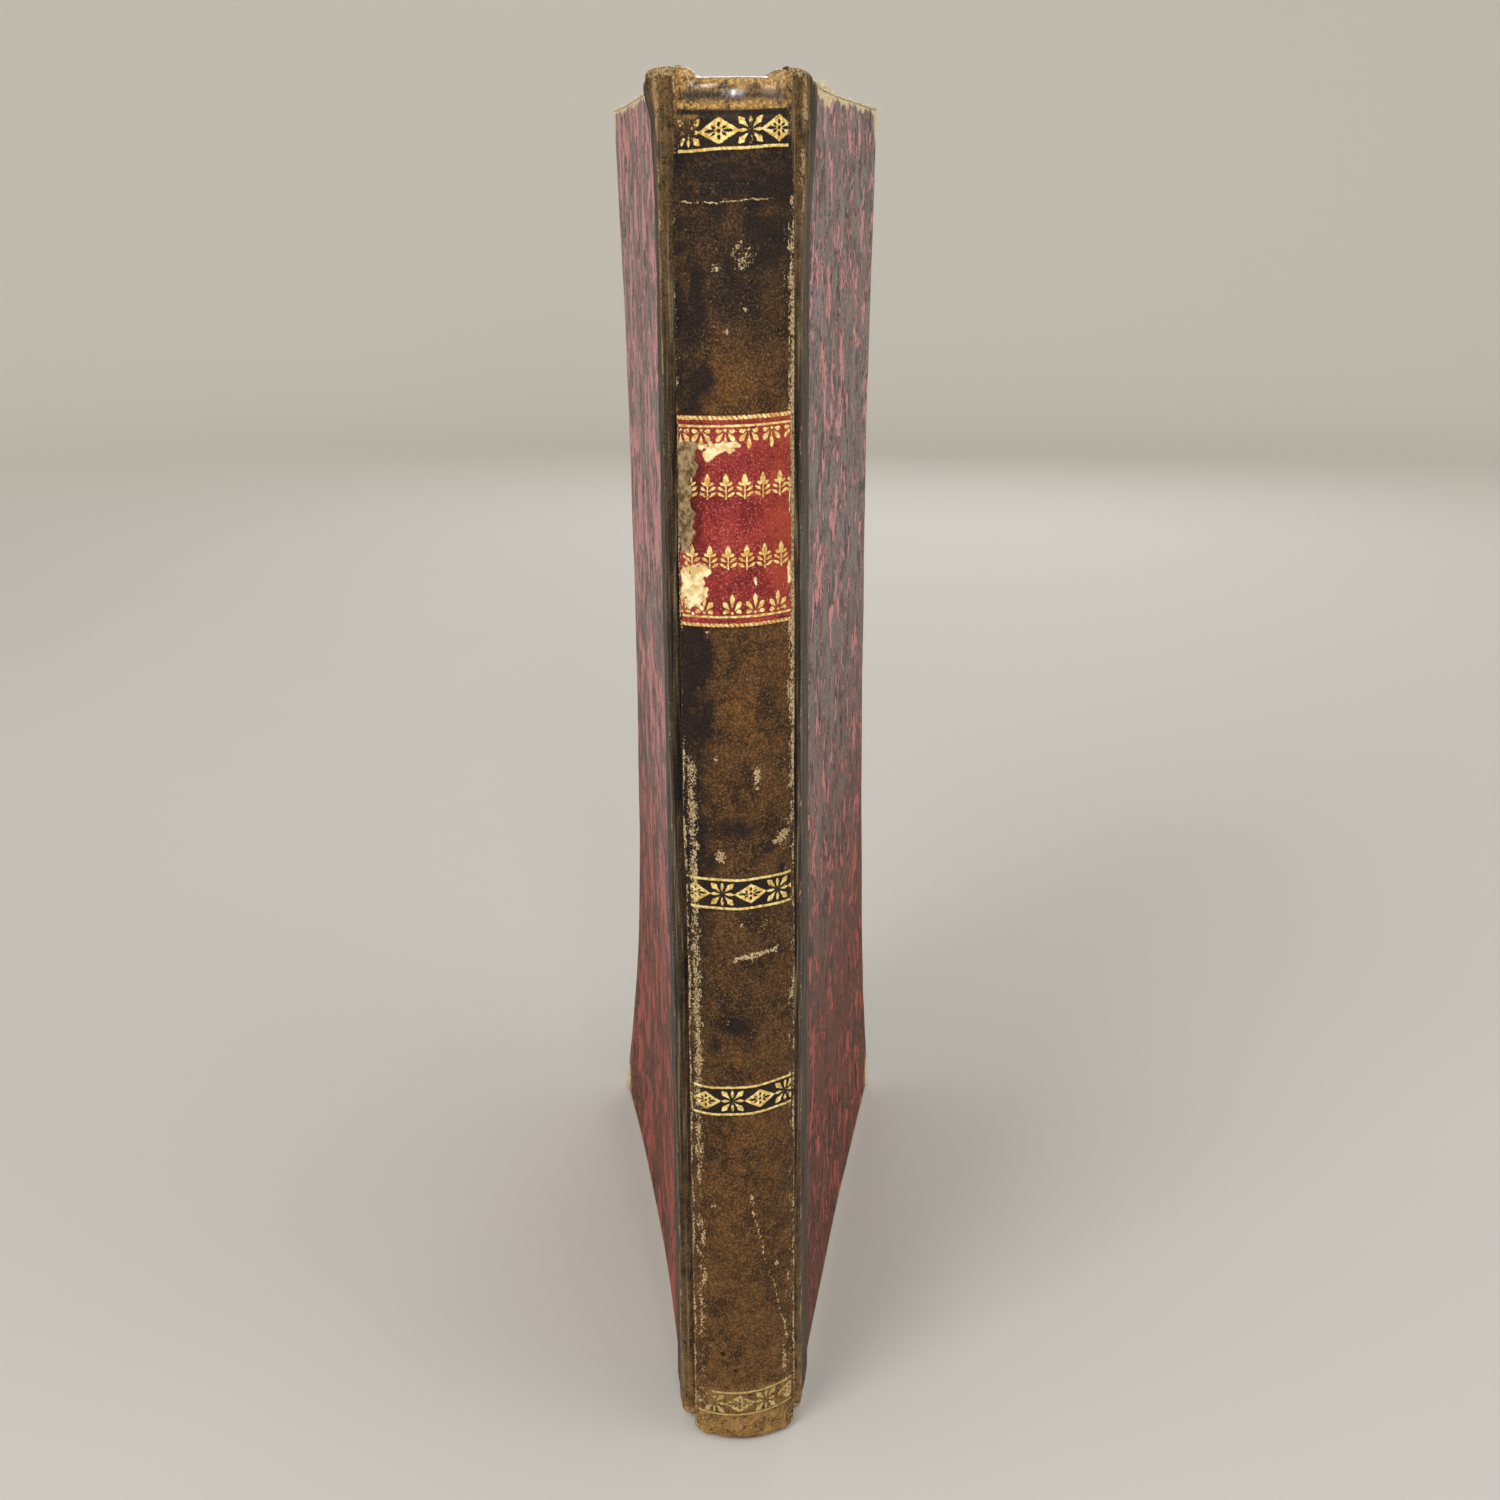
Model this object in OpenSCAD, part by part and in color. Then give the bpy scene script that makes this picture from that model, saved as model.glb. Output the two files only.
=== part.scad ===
// A hand-sewn quarter-leather book that stands on its tail with both covers ajar.
// X runs across the spine, Y from the spine to the fore-edge, Z from tail to head.

/* [Covers] */
// Height of the covers from tail to head
cover_h = 205; // [170:1:250]
// Width of a cover from its hinge line to its fore-edge
cover_w = 120; // [100:1:150]
// Thickness of the pasteboard
board_t = 2; // [1.6:0.1:2.6]
// How far the covers stand out past the leaves at head, tail and fore-edge
square = 3; // [2.8:0.1:5]
// Radius of the rubbed corners at the fore-edge
corner_r = 2.5; // [1:0.25:6]
// Radius of the board's cut corners beside the joint
back_corner_r = 3.5; // [2:0.25:5]
// How far the front cover's head corner has warped outwards
front_head_lean = 1.8; // [0:0.1:5]
// How far the front cover's tail corner has warped outwards
front_tail_lean = 2.2; // [0:0.1:5]
// How far the back cover's head corner has warped outwards
back_head_lean = 1.8; // [0:0.1:5]
// How far the back cover's tail corner has warped outwards
back_tail_lean = 4.6; // [0:0.1:5]
// Angle at which the front cover stands open
front_open = 12.5; // [1:0.1:25]
// Angle at which the back cover stands open
back_open = 1.3; // [1:0.1:25]

/* [Leaves] */
// Thickness of the sewn leaves
leaves_t = 11.8; // [10:0.2:14]
// Number of folded gatherings
gatherings = 14; // [8:1:20]
// Width of the leaves across the backed shoulders
shoulder_w = 13.2; // [12.6:0.1:13.4]
// Depth of the hollow in the fore-edge
fore_edge_hollow = 2.2; // [1:0.1:3.5]
// Thickness of a flyleaf
flyleaf_t = 0.15; // [0.1:0.01:0.2]
// Thickness of a pastedown
pastedown_t = 0.2; // [0.15:0.01:0.3]

/* [Spine] */
// Width of the spine panel between its rubbed edges
spine_w = 15.3; // [14.8:0.1:15.8]
// Rise of the spine panel's curve
spine_round = 3.4; // [3:0.1:3.8]
// Distance from the panel's edges back to the hinge lines
joint_set = 5.7; // [5.4:0.1:6.5]
// Thickness of the spine leather
leather_t = 0.7; // [0.5:0.05:0.8]
// Thickness of the card that stiffens the spine
spine_card_t = 0.8; // [0.6:0.05:0.9]
// Thickness of the leather turned in behind the card
turned_t = 0.4; // [0.3:0.05:0.5]
// Thickness of the paper lining glued to the backs of the gatherings
lining_t = 0.2; // [0.15:0.01:0.25]
// Radius of the rolled leather caps at head and tail
cap_r = 1.2; // [1:0.05:1.25]

/* [Covering] */
// Thickness of the leather on the covers
side_leather_t = 0.45; // [0.35:0.01:0.5]
// Width of the leather on each cover, from the hinge line
side_leather_w = 10; // [8.5:0.5:12]
// Thickness of the patterned paper
paper_t = 0.3; // [0.2:0.02:0.35]
// Width of the leather and paper turned in over the board edges
turn_in = 14; // [10:0.5:18]
// Margin of turned-in paper that the pastedown leaves bare
pastedown_margin = 5; // [3:0.5:8]

/* [Sewing] */
// Number of sunken sewing cords
cords = 4;
// Radius of a sewing cord
cord_r = 0.7; // [0.5:0.05:0.8]
// Radius of the sewing thread
thread_r = 0.15; // [0.1:0.01:0.18]
// Distance from the hinge line to the lacing holes in the boards
lacing_inset = 7; // [5:0.5:8]
// Length of the frayed cord ends pasted to the inside of the boards
slip_fan_l = 11; // [6:0.5:16]
// Radius of the endband cores
endband_core_r = 0.65; // [0.5:0.05:0.7]
// Radius of the silk wound round the endband cores
silk_r = 0.17; // [0.12:0.01:0.2]

/* [Title label] */
// Height of the middle of the label above the tail
label_mid_z = 146.8; // [120:0.5:160]
// Height of the label
label_h = 30; // [24:0.5:34]
// Thickness of the label's leather
label_t = 0.35; // [0.25:0.05:0.5]
// Depth of the patches where the label's red surface has flaked off
flake_d = 0.12; // [0.05:0.01:0.15]

/* [Gilding] */
// Thickness of the gilding
gilt_t = 0.08; // [0.05:0.01:0.15]
// Width of a gilt line
gilt_line_w = 0.42; // [0.3:0.02:0.6]
// Height of a gilt band over its two lines
gilt_band_h = 4.7; // [4.2:0.1:5.2]

/* [Hidden] */
$fn = 48;
cover_gap = 0.4;          // between a closed cover and the flyleaf under it
board_r = board_t / 2;
block_h = cover_h - 2 * square;
head_z = square + block_h;

// The spine's layers are arcs about one centre line, which stands spine_r behind the apex.
spine_r = (pow(spine_w / 2, 2) + pow(spine_round, 2)) / (2 * spine_round);
spine_a = asin(spine_w / 2 / spine_r);
card_out_r = spine_r - leather_t;
card_in_r = card_out_r - spine_card_t;
lining_out_r = card_in_r - turned_t;
back_r = lining_out_r - lining_t;
shoulder_a = asin(shoulder_w / 2 / back_r);

// Each hinge line runs up the middle of a board's rounded spine edge.
hinge_x = leaves_t / 2 + flyleaf_t + cover_gap + pastedown_t + paper_t + board_r;
hinge_y = spine_round + joint_set;
knuckle_r = board_r + side_leather_t;
groove_y = hinge_y - knuckle_r + 0.05;
groove_x = leaves_t / 2 + flyleaf_t + 0.15;
groove_leather_t = 0.5;
fore_y = hinge_y + cover_w - square;

// The flat strip beside the hinge carries the leather and the lacing; past it the board may warp.
flat_w = side_leather_w + 2;
grid_y = 6;
grid_z = 12;
front_lean = [front_head_lean, front_tail_lean];
back_lean = [back_head_lean, back_tail_lean];

// The gatherings' folded backs, side by side round the spine
gathering_a = 2 * shoulder_a / gatherings;
fold_r = back_r * sin(gathering_a / 2) / (1 + sin(gathering_a / 2));

cord_path_r = back_r - 1.15;
cord_notch_r = 1.1;
thread_path_r = cord_r + thread_r;
kettle_inset = 12;
kettle_r = 0.3;

endband_path_r = back_r - 1.1;
silk_path_r = endband_core_r + silk_r;
endband_a = 46;
silk_step_a = 3.4;

cap_top = cover_h - 0.2;
cap_mid_r = spine_r - 0.95;
cap_lid_t = 0.6;
cap_lip_r = endband_path_r + 0.3;
tie_line_z = cap_top - 4.3;
tie_line_r = 0.35;
ear_rise = 0.95;

// Middles of the gilt bands, as heights above the tail, and where on each a lozenge falls, as the
// distance round the spine from its middle
gilt_band_z = [7.5, 59.4, 92, 197.9];
lozenge_at = [-0.9, 2.6, 1.4, -2.1];
motif_step = 8.4;
lozenge_w = 4.9;
lozenge_h = 3.3;
flower_r = 1.6;
label_line_inset = [0.45, 1.5];
palmette_inset = 2.15;
palmette_step = 3.1;
palmette_at = [-1.2, -0.3];
leaflet_row_z = 4.9;
leaflet_step = 2.6;

// The whole book is shifted so that the middle of its footprint is at X 0, Y 0.
function turned_x(x, y, a) = x * cos(a) + y * sin(a);
function turned_y(x, y, a) = -x * sin(a) + y * cos(a);
function lean_at(lean, z) =
    let (v = 2 * z / cover_h - 1)
    v > 0 ? lean[0] * pow(v, 2) : lean[1] * pow(-v, 3.5);
function corner_x(lean) = board_r + paper_t + max(lean_at(lean, corner_r), lean_at(lean, cover_h - corner_r));
reach_front = hinge_x + turned_x(corner_x(front_lean), cover_w, front_open);
reach_back = hinge_x + turned_x(corner_x(back_lean), cover_w, back_open);
reach_y = hinge_y + max(turned_y(-board_r - paper_t, cover_w, front_open),
                        turned_y(-board_r - paper_t, cover_w, back_open));
mid_x = (reach_front - reach_back) / 2;
mid_y = (reach_y - label_t - gilt_t) / 2;

CORD_NODES = [for (i = [1:cords]) str("sewing_cord_", i)];
FRONT_SLIP_NODES = [for (i = [1:cords]) str("front_cord_slip_", i)];
BACK_SLIP_NODES = [for (i = [1:cords]) str("back_cord_slip_", i)];

function cord_z(i) = square + block_h * i / (cords + 1);
function on_arc(r, a) = [r * sin(a), spine_r - r * cos(a)];

module place() translate([-mid_x, -mid_y, 0]) children();

// A cover's own frame: the hinge line is its Z axis, the board runs along +Y and faces +X.
module front_cover()
    place() translate([hinge_x, hinge_y, 0]) rotate([0, 0, -front_open]) children();
module back_cover()
    place() mirror([1, 0, 0]) translate([hinge_x, hinge_y, 0]) rotate([0, 0, -back_open]) children();

// Revolves a profile of radius and height about the spine's centre line, half_a to each side.
module round_spine(half_a)
    translate([0, spine_r, 0]) rotate([0, 0, -90 - half_a]) rotate_extrude(angle = 2 * half_a) children();

// Sets a child that is drawn at the origin onto the spine at radius r, angle a and height z.
module at_spine(r, a, z)
    translate([0, spine_r, z]) rotate([0, 0, a]) translate([0, -r, 0]) children();

// A flat wedge from the spine's centre line, half_a to each side of the apex.
module wedge(half_a)
    translate([0, spine_r])
        polygon([[0, 0], 3 * spine_r * [sin(half_a), -cos(half_a)], 3 * spine_r * [-sin(half_a), -cos(half_a)]]);

// A leaf shape: two arcs that meet in points, standing up from the origin.
module leaf(l, w) {
    r = (l * l / 4 + w * w / 4) / w;
    intersection() {
        translate([r - w / 2, l / 2]) circle(r);
        translate([w / 2 - r, l / 2]) circle(r);
    }
}

// Leaves

module block_outline() {
    difference() {
        union() {
            intersection() {
                translate([0, spine_r]) circle(back_r - fold_r / 2);
                wedge(shoulder_a);
            }
            polygon([on_arc(back_r - fold_r, shoulder_a), [leaves_t / 2, groove_y + 0.6], [leaves_t / 2, fore_y],
                     [-leaves_t / 2, fore_y], [-leaves_t / 2, groove_y + 0.6], on_arc(back_r - fold_r, -shoulder_a)]);
            for (i = [0:gatherings - 1])
                translate(on_arc(back_r - fold_r, -shoulder_a + gathering_a * (i + 0.5))) circle(fold_r);
        }
        hollow_r = (pow(leaves_t / 2, 2) + pow(fore_edge_hollow, 2)) / (2 * fore_edge_hollow);
        translate([0, fore_y - fore_edge_hollow + hollow_r]) circle(hollow_r);
    }
}

module text_block() color("#d9c8a0") place() {
    difference() {
        translate([0, 0, square]) linear_extrude(block_h) block_outline();
        for (i = [1:cords])
            translate([0, 0, cord_z(i)]) round_spine(shoulder_a + 9) {
                translate([cord_path_r, 0]) circle(cord_notch_r);
                translate([cord_path_r, -cord_notch_r]) square([2.5, 2 * cord_notch_r]);
            }
        for (z = [square + kettle_inset, head_z - kettle_inset])
            translate([0, 0, z]) round_spine(shoulder_a + 9)
                translate([back_r - kettle_r, -kettle_r]) square([1, 2 * kettle_r]);
    }
}

module flyleaf(side) color("#e2d6b8") place() {
    translate([side * (leaves_t + flyleaf_t) / 2 - flyleaf_t / 2, groove_y + 0.8, square])
        cube([flyleaf_t, fore_y - groove_y - 0.8, block_h]);
}

// Sewing

module sewing_cord(i) color("#b9a377") place() {
    translate([0, 0, cord_z(i)]) round_spine(shoulder_a - 3) translate([cord_path_r, 0]) circle(cord_r);
}

module thread_loop(path_r, r)
    rotate([0, 90, 0]) rotate_extrude($fn = 24) translate([path_r, 0]) circle(r, $fn = 16);

module sewing_thread() color("#cdbf98") place() {
    for (i = [1:cords], k = [1:gatherings - 2])
        at_spine(cord_path_r, -shoulder_a + gathering_a * (k + 0.5), cord_z(i)) thread_loop(thread_path_r, thread_r);
    for (z = [square + kettle_inset, head_z - kettle_inset])
        translate([0, 0, z]) round_spine(shoulder_a - 3) translate([back_r - thread_r, 0]) circle(thread_r, $fn = 16);
}

module spine_lining() color("#c9b68a") place() {
    translate([0, 0, square]) round_spine(spine_a + 2) translate([back_r, 0]) square([lining_t, block_h]);
}

// The endbands stand on the leaves' head and tail, up = 1 at the head and -1 at the tail.
function endband_z(up) = (up > 0 ? head_z : square) + up * (silk_path_r + silk_r);

module endband_core(up) color("#c8b07c") place() {
    translate([0, 0, endband_z(up)]) round_spine(endband_a) translate([endband_path_r, 0]) circle(endband_core_r);
}

module endband_silk(up) color("#8e2f2b") place() {
    for (a = [silk_step_a - endband_a:silk_step_a:endband_a - silk_step_a])
        at_spine(endband_path_r, a, endband_z(up)) thread_loop(silk_path_r, silk_r);
}

// Spine

module spine_card() color("#9c8a68") place() {
    translate([0, 0, cover_h - cap_top + 2 * cap_r + 0.1]) round_spine(spine_a - 1.5)
        translate([card_in_r, 0]) square([spine_card_t, 2 * cap_top - cover_h - 4 * cap_r - 0.2]);
}

// The rolled cap at one end, drawn for the head: the fold over the endband and the turned-in flap
module cap_profile() {
    translate([cap_mid_r, cap_top - cap_r]) circle(cap_r);
    translate([cap_lip_r, cap_top - cap_lid_t]) square([cap_mid_r - cap_lip_r, cap_lid_t]);
    translate([cap_lip_r, cap_top - cap_lid_t / 2]) circle(cap_lid_t / 2);
    translate([lining_out_r, cap_top - turn_in]) square([turned_t, turn_in - cap_r]);
}

module spine_profile() {
    difference() {
        union() {
            translate([card_out_r, cover_h - cap_top + cap_r]) square([leather_t, 2 * cap_top - cover_h - 2 * cap_r]);
            cap_profile();
            translate([0, cover_h]) mirror([0, 1]) cap_profile();
        }
        for (z = [tie_line_z, cover_h - tie_line_z])
            translate([spine_r + 0.15, z]) circle(tie_line_r);
    }
}

// The leather from the panel's edge back into the joint's groove, and the rubbed ridge between them
module joint_wall() {
    ridge = (on_arc(spine_r, spine_a) + on_arc(card_out_r, spine_a)) / 2;
    polygon([on_arc(spine_r, spine_a), [groove_x + groove_leather_t, groove_y],
             [groove_x, groove_y], on_arc(card_out_r, spine_a)]);
    translate(ridge) circle(leather_t * 0.58);
}

// Two worm holes near the tail, as distances from the spine's middle and heights above the tail
WORM_HOLES = [[-3.6, 15.8], [-1.5, 12.9]];
worm_r = 0.35;

module spine_leather() color("#3b2a1d") place() {
    difference() {
        union() {
            round_spine(spine_a) spine_profile();
            for (side = [0, 1])
                mirror([side, 0, 0]) translate([0, 0, 1]) linear_extrude(cover_h - 2) joint_wall();
        }
        for (hole = WORM_HOLES)
            translate([hole[0], -1, hole[1]]) rotate([-90, 0, 0]) cylinder(h = 1 + 2.1, r = worm_r);
    }
}

// Title label, drawn flat as distance from the spine's middle and height from the label's middle

label_half_w = spine_w / 2 - 0.15;

// Steps of the ragged left edge, as shares of the height, and how far the edge is worn away there
RAGGED = [[-0.5, 0.2], [-0.36, 0], [-0.2, 0.35], [-0.05, 0.1], [0.1, 0.45], [0.24, 0.15], [0.4, 0.3], [0.5, 0]];

// Patches where the red surface has flaked off, each a ragged outline
FLAKES = [
    [[-6.9, 10.2], [-5.4, 10.6], [-4.9, 9.2], [-4.3, 7.6], [-4.8, 6.2], [-6.2, 5.6], [-6.8, 4.2]],
    [[-6.7, 2.6], [-5.1, 2.4], [-4.9, 0.2], [-5.1, -3.4], [-6.6, -3.8]],
    [[-6.6, -6.6], [-3.4, -6.4], [-2.7, -7.8], [-3.4, -10.2], [-4.3, -11.3], [-6.5, -11]],
    [[-4.3, 10.4], [-1.2, 10.5], [0.4, 9.8], [-0.6, 8.8], [-2.6, 8.2], [-4, 8.9]]];

module label_outline() {
    left = [for (p = RAGGED) [-label_half_w + p[1], label_h * p[0]]];
    right = [for (i = [len(RAGGED) - 1:-1:0]) [label_half_w - 0.6 * RAGGED[len(RAGGED) - 1 - i][1], label_h * RAGGED[i][0]]];
    polygon(concat(left, right));
}

// Cuts a drawing out of the shell of thickness t that lies on the spine at radius r.
module on_spine(r, t, z, h)
    intersection() {
        translate([0, 0, z - h / 2]) round_spine(spine_a + 4) translate([r, 0]) square([t, h]);
        translate([0, spine_r, z]) rotate([90, 0, 0]) linear_extrude(2 * spine_r) children();
    }

module title_label() color("#8a1f22") place() {
    difference() {
        on_spine(spine_r, label_t, label_mid_z, label_h) label_outline();
        for (flake = FLAKES)
            on_spine(spine_r + label_t - flake_d, 1, label_mid_z, label_h) polygon(flake);
    }
}

// Gilding

module lozenge() {
    difference() {
        polygon([[-lozenge_w / 2, 0], [0, -lozenge_h / 2], [lozenge_w / 2, 0], [0, lozenge_h / 2]]);
        polygon([[-lozenge_w / 2 + 0.75, 0], [0, 0.5 - lozenge_h / 2], [lozenge_w / 2 - 0.75, 0],
                 [0, lozenge_h / 2 - 0.5]]);
    }
    for (a = [0, 90, 180, 270])
        rotate(a) leaf(a % 180 == 0 ? 1.1 : 1.65, 0.42);
    circle(0.24, $fn = 16);
}

module flower() {
    for (a = [0:45:315])
        rotate(a) leaf(a % 90 == 0 ? flower_r * 0.72 : flower_r * 1.2, a % 90 == 0 ? 0.4 : 0.72);
}

module palmette() {
    for (a = [-66, -34, 0, 34, 66])
        rotate(a) leaf(2.7 - abs(a) / 60, 0.62);
    circle(0.34, $fn = 16);
}

// A motif stamped at arc length s from the spine's middle
module stamp(r, s, z)
    intersection() {
        translate([0, 0, z - 3]) round_spine(spine_a - 1) translate([r, 0]) square([gilt_t, 6]);
        at_spine(r + 0.5, s / r * 180 / PI, z) rotate([90, 0, 0])
            translate([0, 0, -1.5]) linear_extrude(2) children();
    }

module gilt_line(r, z)
    translate([0, 0, z - gilt_line_w / 2]) round_spine(spine_a - 3)
        translate([r, 0]) square([gilt_t, gilt_line_w]);

module spine_gilding() color("#c9a24a") place() {
    for (i = [0:len(gilt_band_z) - 1]) {
        z = gilt_band_z[i];
        for (up = i == len(gilt_band_z) - 1 ? [-1] : [-1, 1])
            gilt_line(spine_r, z + up * (gilt_band_h - gilt_line_w) / 2);
        for (k = [-1, 0, 1]) {
            stamp(spine_r, lozenge_at[i] + k * motif_step, z) lozenge();
            stamp(spine_r, lozenge_at[i] + (k + 0.5) * motif_step, z) flower();
        }
    }
}

module label_gilding() color("#d1aa50") place() {
    face_r = spine_r + label_t;
    for (up = [-1, 1]) {
        for (inset = label_line_inset)
            gilt_line(face_r, label_mid_z + up * (label_h / 2 - inset));
        for (k = [-1:2])
            stamp(face_r, palmette_at[up > 0 ? 0 : 1] + palmette_step * k,
                  label_mid_z + up * (label_h / 2 - palmette_inset))
                mirror([0, up > 0 ? 1 : 0]) palmette();
    }
    for (up = [-1, 1], k = [-1:2])
        stamp(face_r, leaflet_step * (k - 0.4), label_mid_z + up * leaflet_row_z) {
            leaf(1.3, 1.1);
            mirror([0, 1]) leaf(1.3, 1.1);
            circle(0.3, $fn = 16);
        }
}

// Covers, each drawn in a cover's own frame

// A slab over the whole cover between x0 and x1, warped so that its fore-edge corners lean out.
// Every layer of a cover is cut from such a slab on the same grid, so that the layers lie close.
module warped_slab(x0, x1, lean) {
    ny = grid_y + 1;
    nz = grid_z + 1;
    function warp(y, z) = lean_at(lean, z) * pow(max(y - flat_w, 0) / (cover_w - flat_w), 2);
    ys = concat([0], [for (i = [0:grid_y]) flat_w + (cover_w - flat_w) * i / grid_y]);
    zs = [for (k = [0:grid_z]) cover_h * k / grid_z];
    n = len(ys) * nz;
    points = [for (x = [x0, x1], y = ys, z = zs) [x + warp(y, z), y, z]];
    function id(s, i, k) = s * n + i * nz + k;
    function quad(a, b, c, d) = [[a, b, c], [a, c, d]];
    faces = concat(
        [for (i = [0:ny - 1], k = [0:grid_z - 1])
            each quad(id(0, i, k), id(0, i + 1, k), id(0, i + 1, k + 1), id(0, i, k + 1))],
        [for (i = [0:ny - 1], k = [0:grid_z - 1])
            each quad(id(1, i, k), id(1, i, k + 1), id(1, i + 1, k + 1), id(1, i + 1, k))],
        [for (i = [0:ny - 1]) each quad(id(0, i + 1, 0), id(0, i, 0), id(1, i, 0), id(1, i + 1, 0))],
        [for (i = [0:ny - 1]) each quad(id(0, i, grid_z), id(0, i + 1, grid_z), id(1, i + 1, grid_z), id(1, i, grid_z))],
        [for (k = [0:grid_z - 1]) each quad(id(0, 0, k), id(0, 0, k + 1), id(1, 0, k + 1), id(1, 0, k))],
        [for (k = [0:grid_z - 1]) each quad(id(0, ny, k + 1), id(0, ny, k), id(1, ny, k), id(1, ny, k + 1))]);
    polyhedron(points, faces);
}

// A straight prism across the cover, from y0 to the fore-edge inset by inset on its three free sides,
// with the two fore-edge corners rounded to r
module cover_prism(y0, inset, r) {
    y1 = cover_w - inset;
    z0 = inset;
    z1 = cover_h - inset;
    translate([-10, 0, 0]) rotate([90, 0, 90]) linear_extrude(20) {
        translate([y0, z0]) square([y1 - r - y0, z1 - z0]);
        translate([y0, z0 + r]) square([y1 - y0, z1 - z0 - 2 * r]);
        for (z = [z0 + r, z1 - r]) translate([y1 - r, z]) circle(r);
    }
}

module lacing_cut(i)
    translate([0, 0, cord_z(i)]) {
        translate([0, lacing_inset, 0]) rotate([0, 90, 0]) cylinder(h = 4 * board_t, r = cord_r, center = true);
        translate([board_r - cord_r, -board_t, -cord_r]) cube([board_t, board_t + lacing_inset, 2 * cord_r]);
    }

// The board's flat strip beside the joint, with its rounded edge and its two cut corners
module board_strip()
    intersection() {
        linear_extrude(cover_h) {
            circle(board_r);
            translate([-board_r, 0]) square([board_t, flat_w]);
        }
        rotate([90, 0, 90]) linear_extrude(4 * board_t, center = true) {
            translate([-board_r, paper_t + back_corner_r])
                square([flat_w + board_r, cover_h - 2 * paper_t - 2 * back_corner_r]);
            translate([back_corner_r - board_r, paper_t])
                square([flat_w + board_r - back_corner_r, cover_h - 2 * paper_t]);
            for (z = [paper_t + back_corner_r, cover_h - paper_t - back_corner_r])
                translate([back_corner_r - board_r, z]) circle(back_corner_r);
        }
    }

module board(lean) color("#a18d68") {
    difference() {
        union() {
            board_strip();
            intersection() {
                warped_slab(-board_r, board_r, lean);
                cover_prism(flat_w, paper_t, corner_r - paper_t);
            }
        }
        for (i = [1:cords]) lacing_cut(i);
    }
}

// A cord's end: down its channel in the board, through the lacing hole and frayed out flat inside
module slip_fan(i, lean)
    intersection() {
        warped_slab(-board_r - paper_t, -board_r, lean);
        translate([-board_r + paper_t, 0, cord_z(i)]) rotate([90, 0, -90]) linear_extrude(3 * paper_t)
            polygon([[-lacing_inset + cord_r, -cord_r], [-lacing_inset + cord_r, cord_r],
                     [-lacing_inset - slip_fan_l, 4.5 * cord_r], [-lacing_inset - slip_fan_l - 1, 0],
                     [-lacing_inset - slip_fan_l, -4.5 * cord_r]]);
    }

module cord_slip(i, lean) color("#b9a377") {
    channel_x = board_r - cord_r;
    translate([0, 0, cord_z(i)]) {
        translate([channel_x, 0, -cord_r]) cube([cord_r, lacing_inset, 2 * cord_r]);
        intersection() {
            translate([channel_x, -board_t, -cord_r]) cube([cord_r, board_t, 2 * cord_r]);
            cylinder(h = 4 * cord_r, r = board_r, center = true);
        }
        translate([-board_r, lacing_inset, 0]) rotate([0, 90, 0]) cylinder(h = board_t, r = cord_r);
    }
    slip_fan(i, lean);
}

module side_paper(lean) color("#7c4a50") {
    difference() {
        intersection() {
            warped_slab(-board_r - paper_t, board_r + paper_t, lean);
            cover_prism(side_leather_w, 0, corner_r);
        }
        intersection() {
            warped_slab(-board_r, board_r, lean);
            cover_prism(0, paper_t, corner_r - paper_t);
        }
        intersection() {
            warped_slab(-board_r - 1, -board_r + 0.1, lean);
            translate([-5, 0, turn_in]) cube([10, cover_w - turn_in, cover_h - 2 * turn_in]);
        }
    }
}

// The leather wraps the board's strip, turned in at head and tail and open on the inside between.
// At the tail its corner follows the board's, and at the head it stands up as an ear.
module side_leather() color("#3b2a1d") {
    tail_r = back_corner_r + paper_t;
    difference() {
        union() {
            intersection() {
                linear_extrude(cover_h) {
                    circle(board_r + paper_t);
                    intersection() {
                        circle(knuckle_r);
                        translate([0, -board_t]) square(2 * board_t);
                    }
                    intersection() {
                        circle(knuckle_r);
                        translate([-board_t, -2 * board_t]) square(2 * board_t);
                    }
                    translate([-board_r - paper_t, 0])
                        square([board_t + paper_t + side_leather_t, side_leather_w]);
                }
                rotate([90, 0, 90]) linear_extrude(4 * board_t, center = true) {
                    translate([-knuckle_r, tail_r]) square([side_leather_w + knuckle_r, cover_h - tail_r]);
                    translate([tail_r - knuckle_r, 0]) square([side_leather_w + knuckle_r - tail_r, cover_h]);
                    translate([tail_r - knuckle_r, tail_r]) circle(tail_r);
                }
            }
            intersection() {
                translate([0, 0, cover_h + ear_rise - knuckle_r]) sphere(knuckle_r);
                translate([-5, -5, cover_h - paper_t]) cube(10);
            }
        }
        board_strip();
        translate([-2 * board_t, 0, turn_in])
            cube([2 * board_t - board_r + 0.01, 2 * side_leather_w, cover_h - 2 * turn_in]);
        translate([-2 * board_t, -2 * board_t, turn_in])
            cube([2 * board_t - 0.4 * board_r, 2 * board_t + 0.01, cover_h - 2 * turn_in]);
    }
}

// The card that levels the inside of a cover between the turned-in edges and the cords' frayed ends
module infill(lean) color("#9c8a68")
    intersection() {
        warped_slab(-board_r - paper_t, -board_r, lean);
        translate([-5, lacing_inset + slip_fan_l + 2, turn_in])
            cube([10, cover_w - turn_in - lacing_inset - slip_fan_l - 2, cover_h - 2 * turn_in]);
    }

module pastedown(lean) color("#e2d6b8")
    intersection() {
        warped_slab(-board_r - paper_t - pastedown_t, -board_r - paper_t, lean);
        translate([-5, board_r, pastedown_margin])
            cube([10, cover_w - pastedown_margin - board_r, cover_h - 2 * pastedown_margin]);
    }

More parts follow.
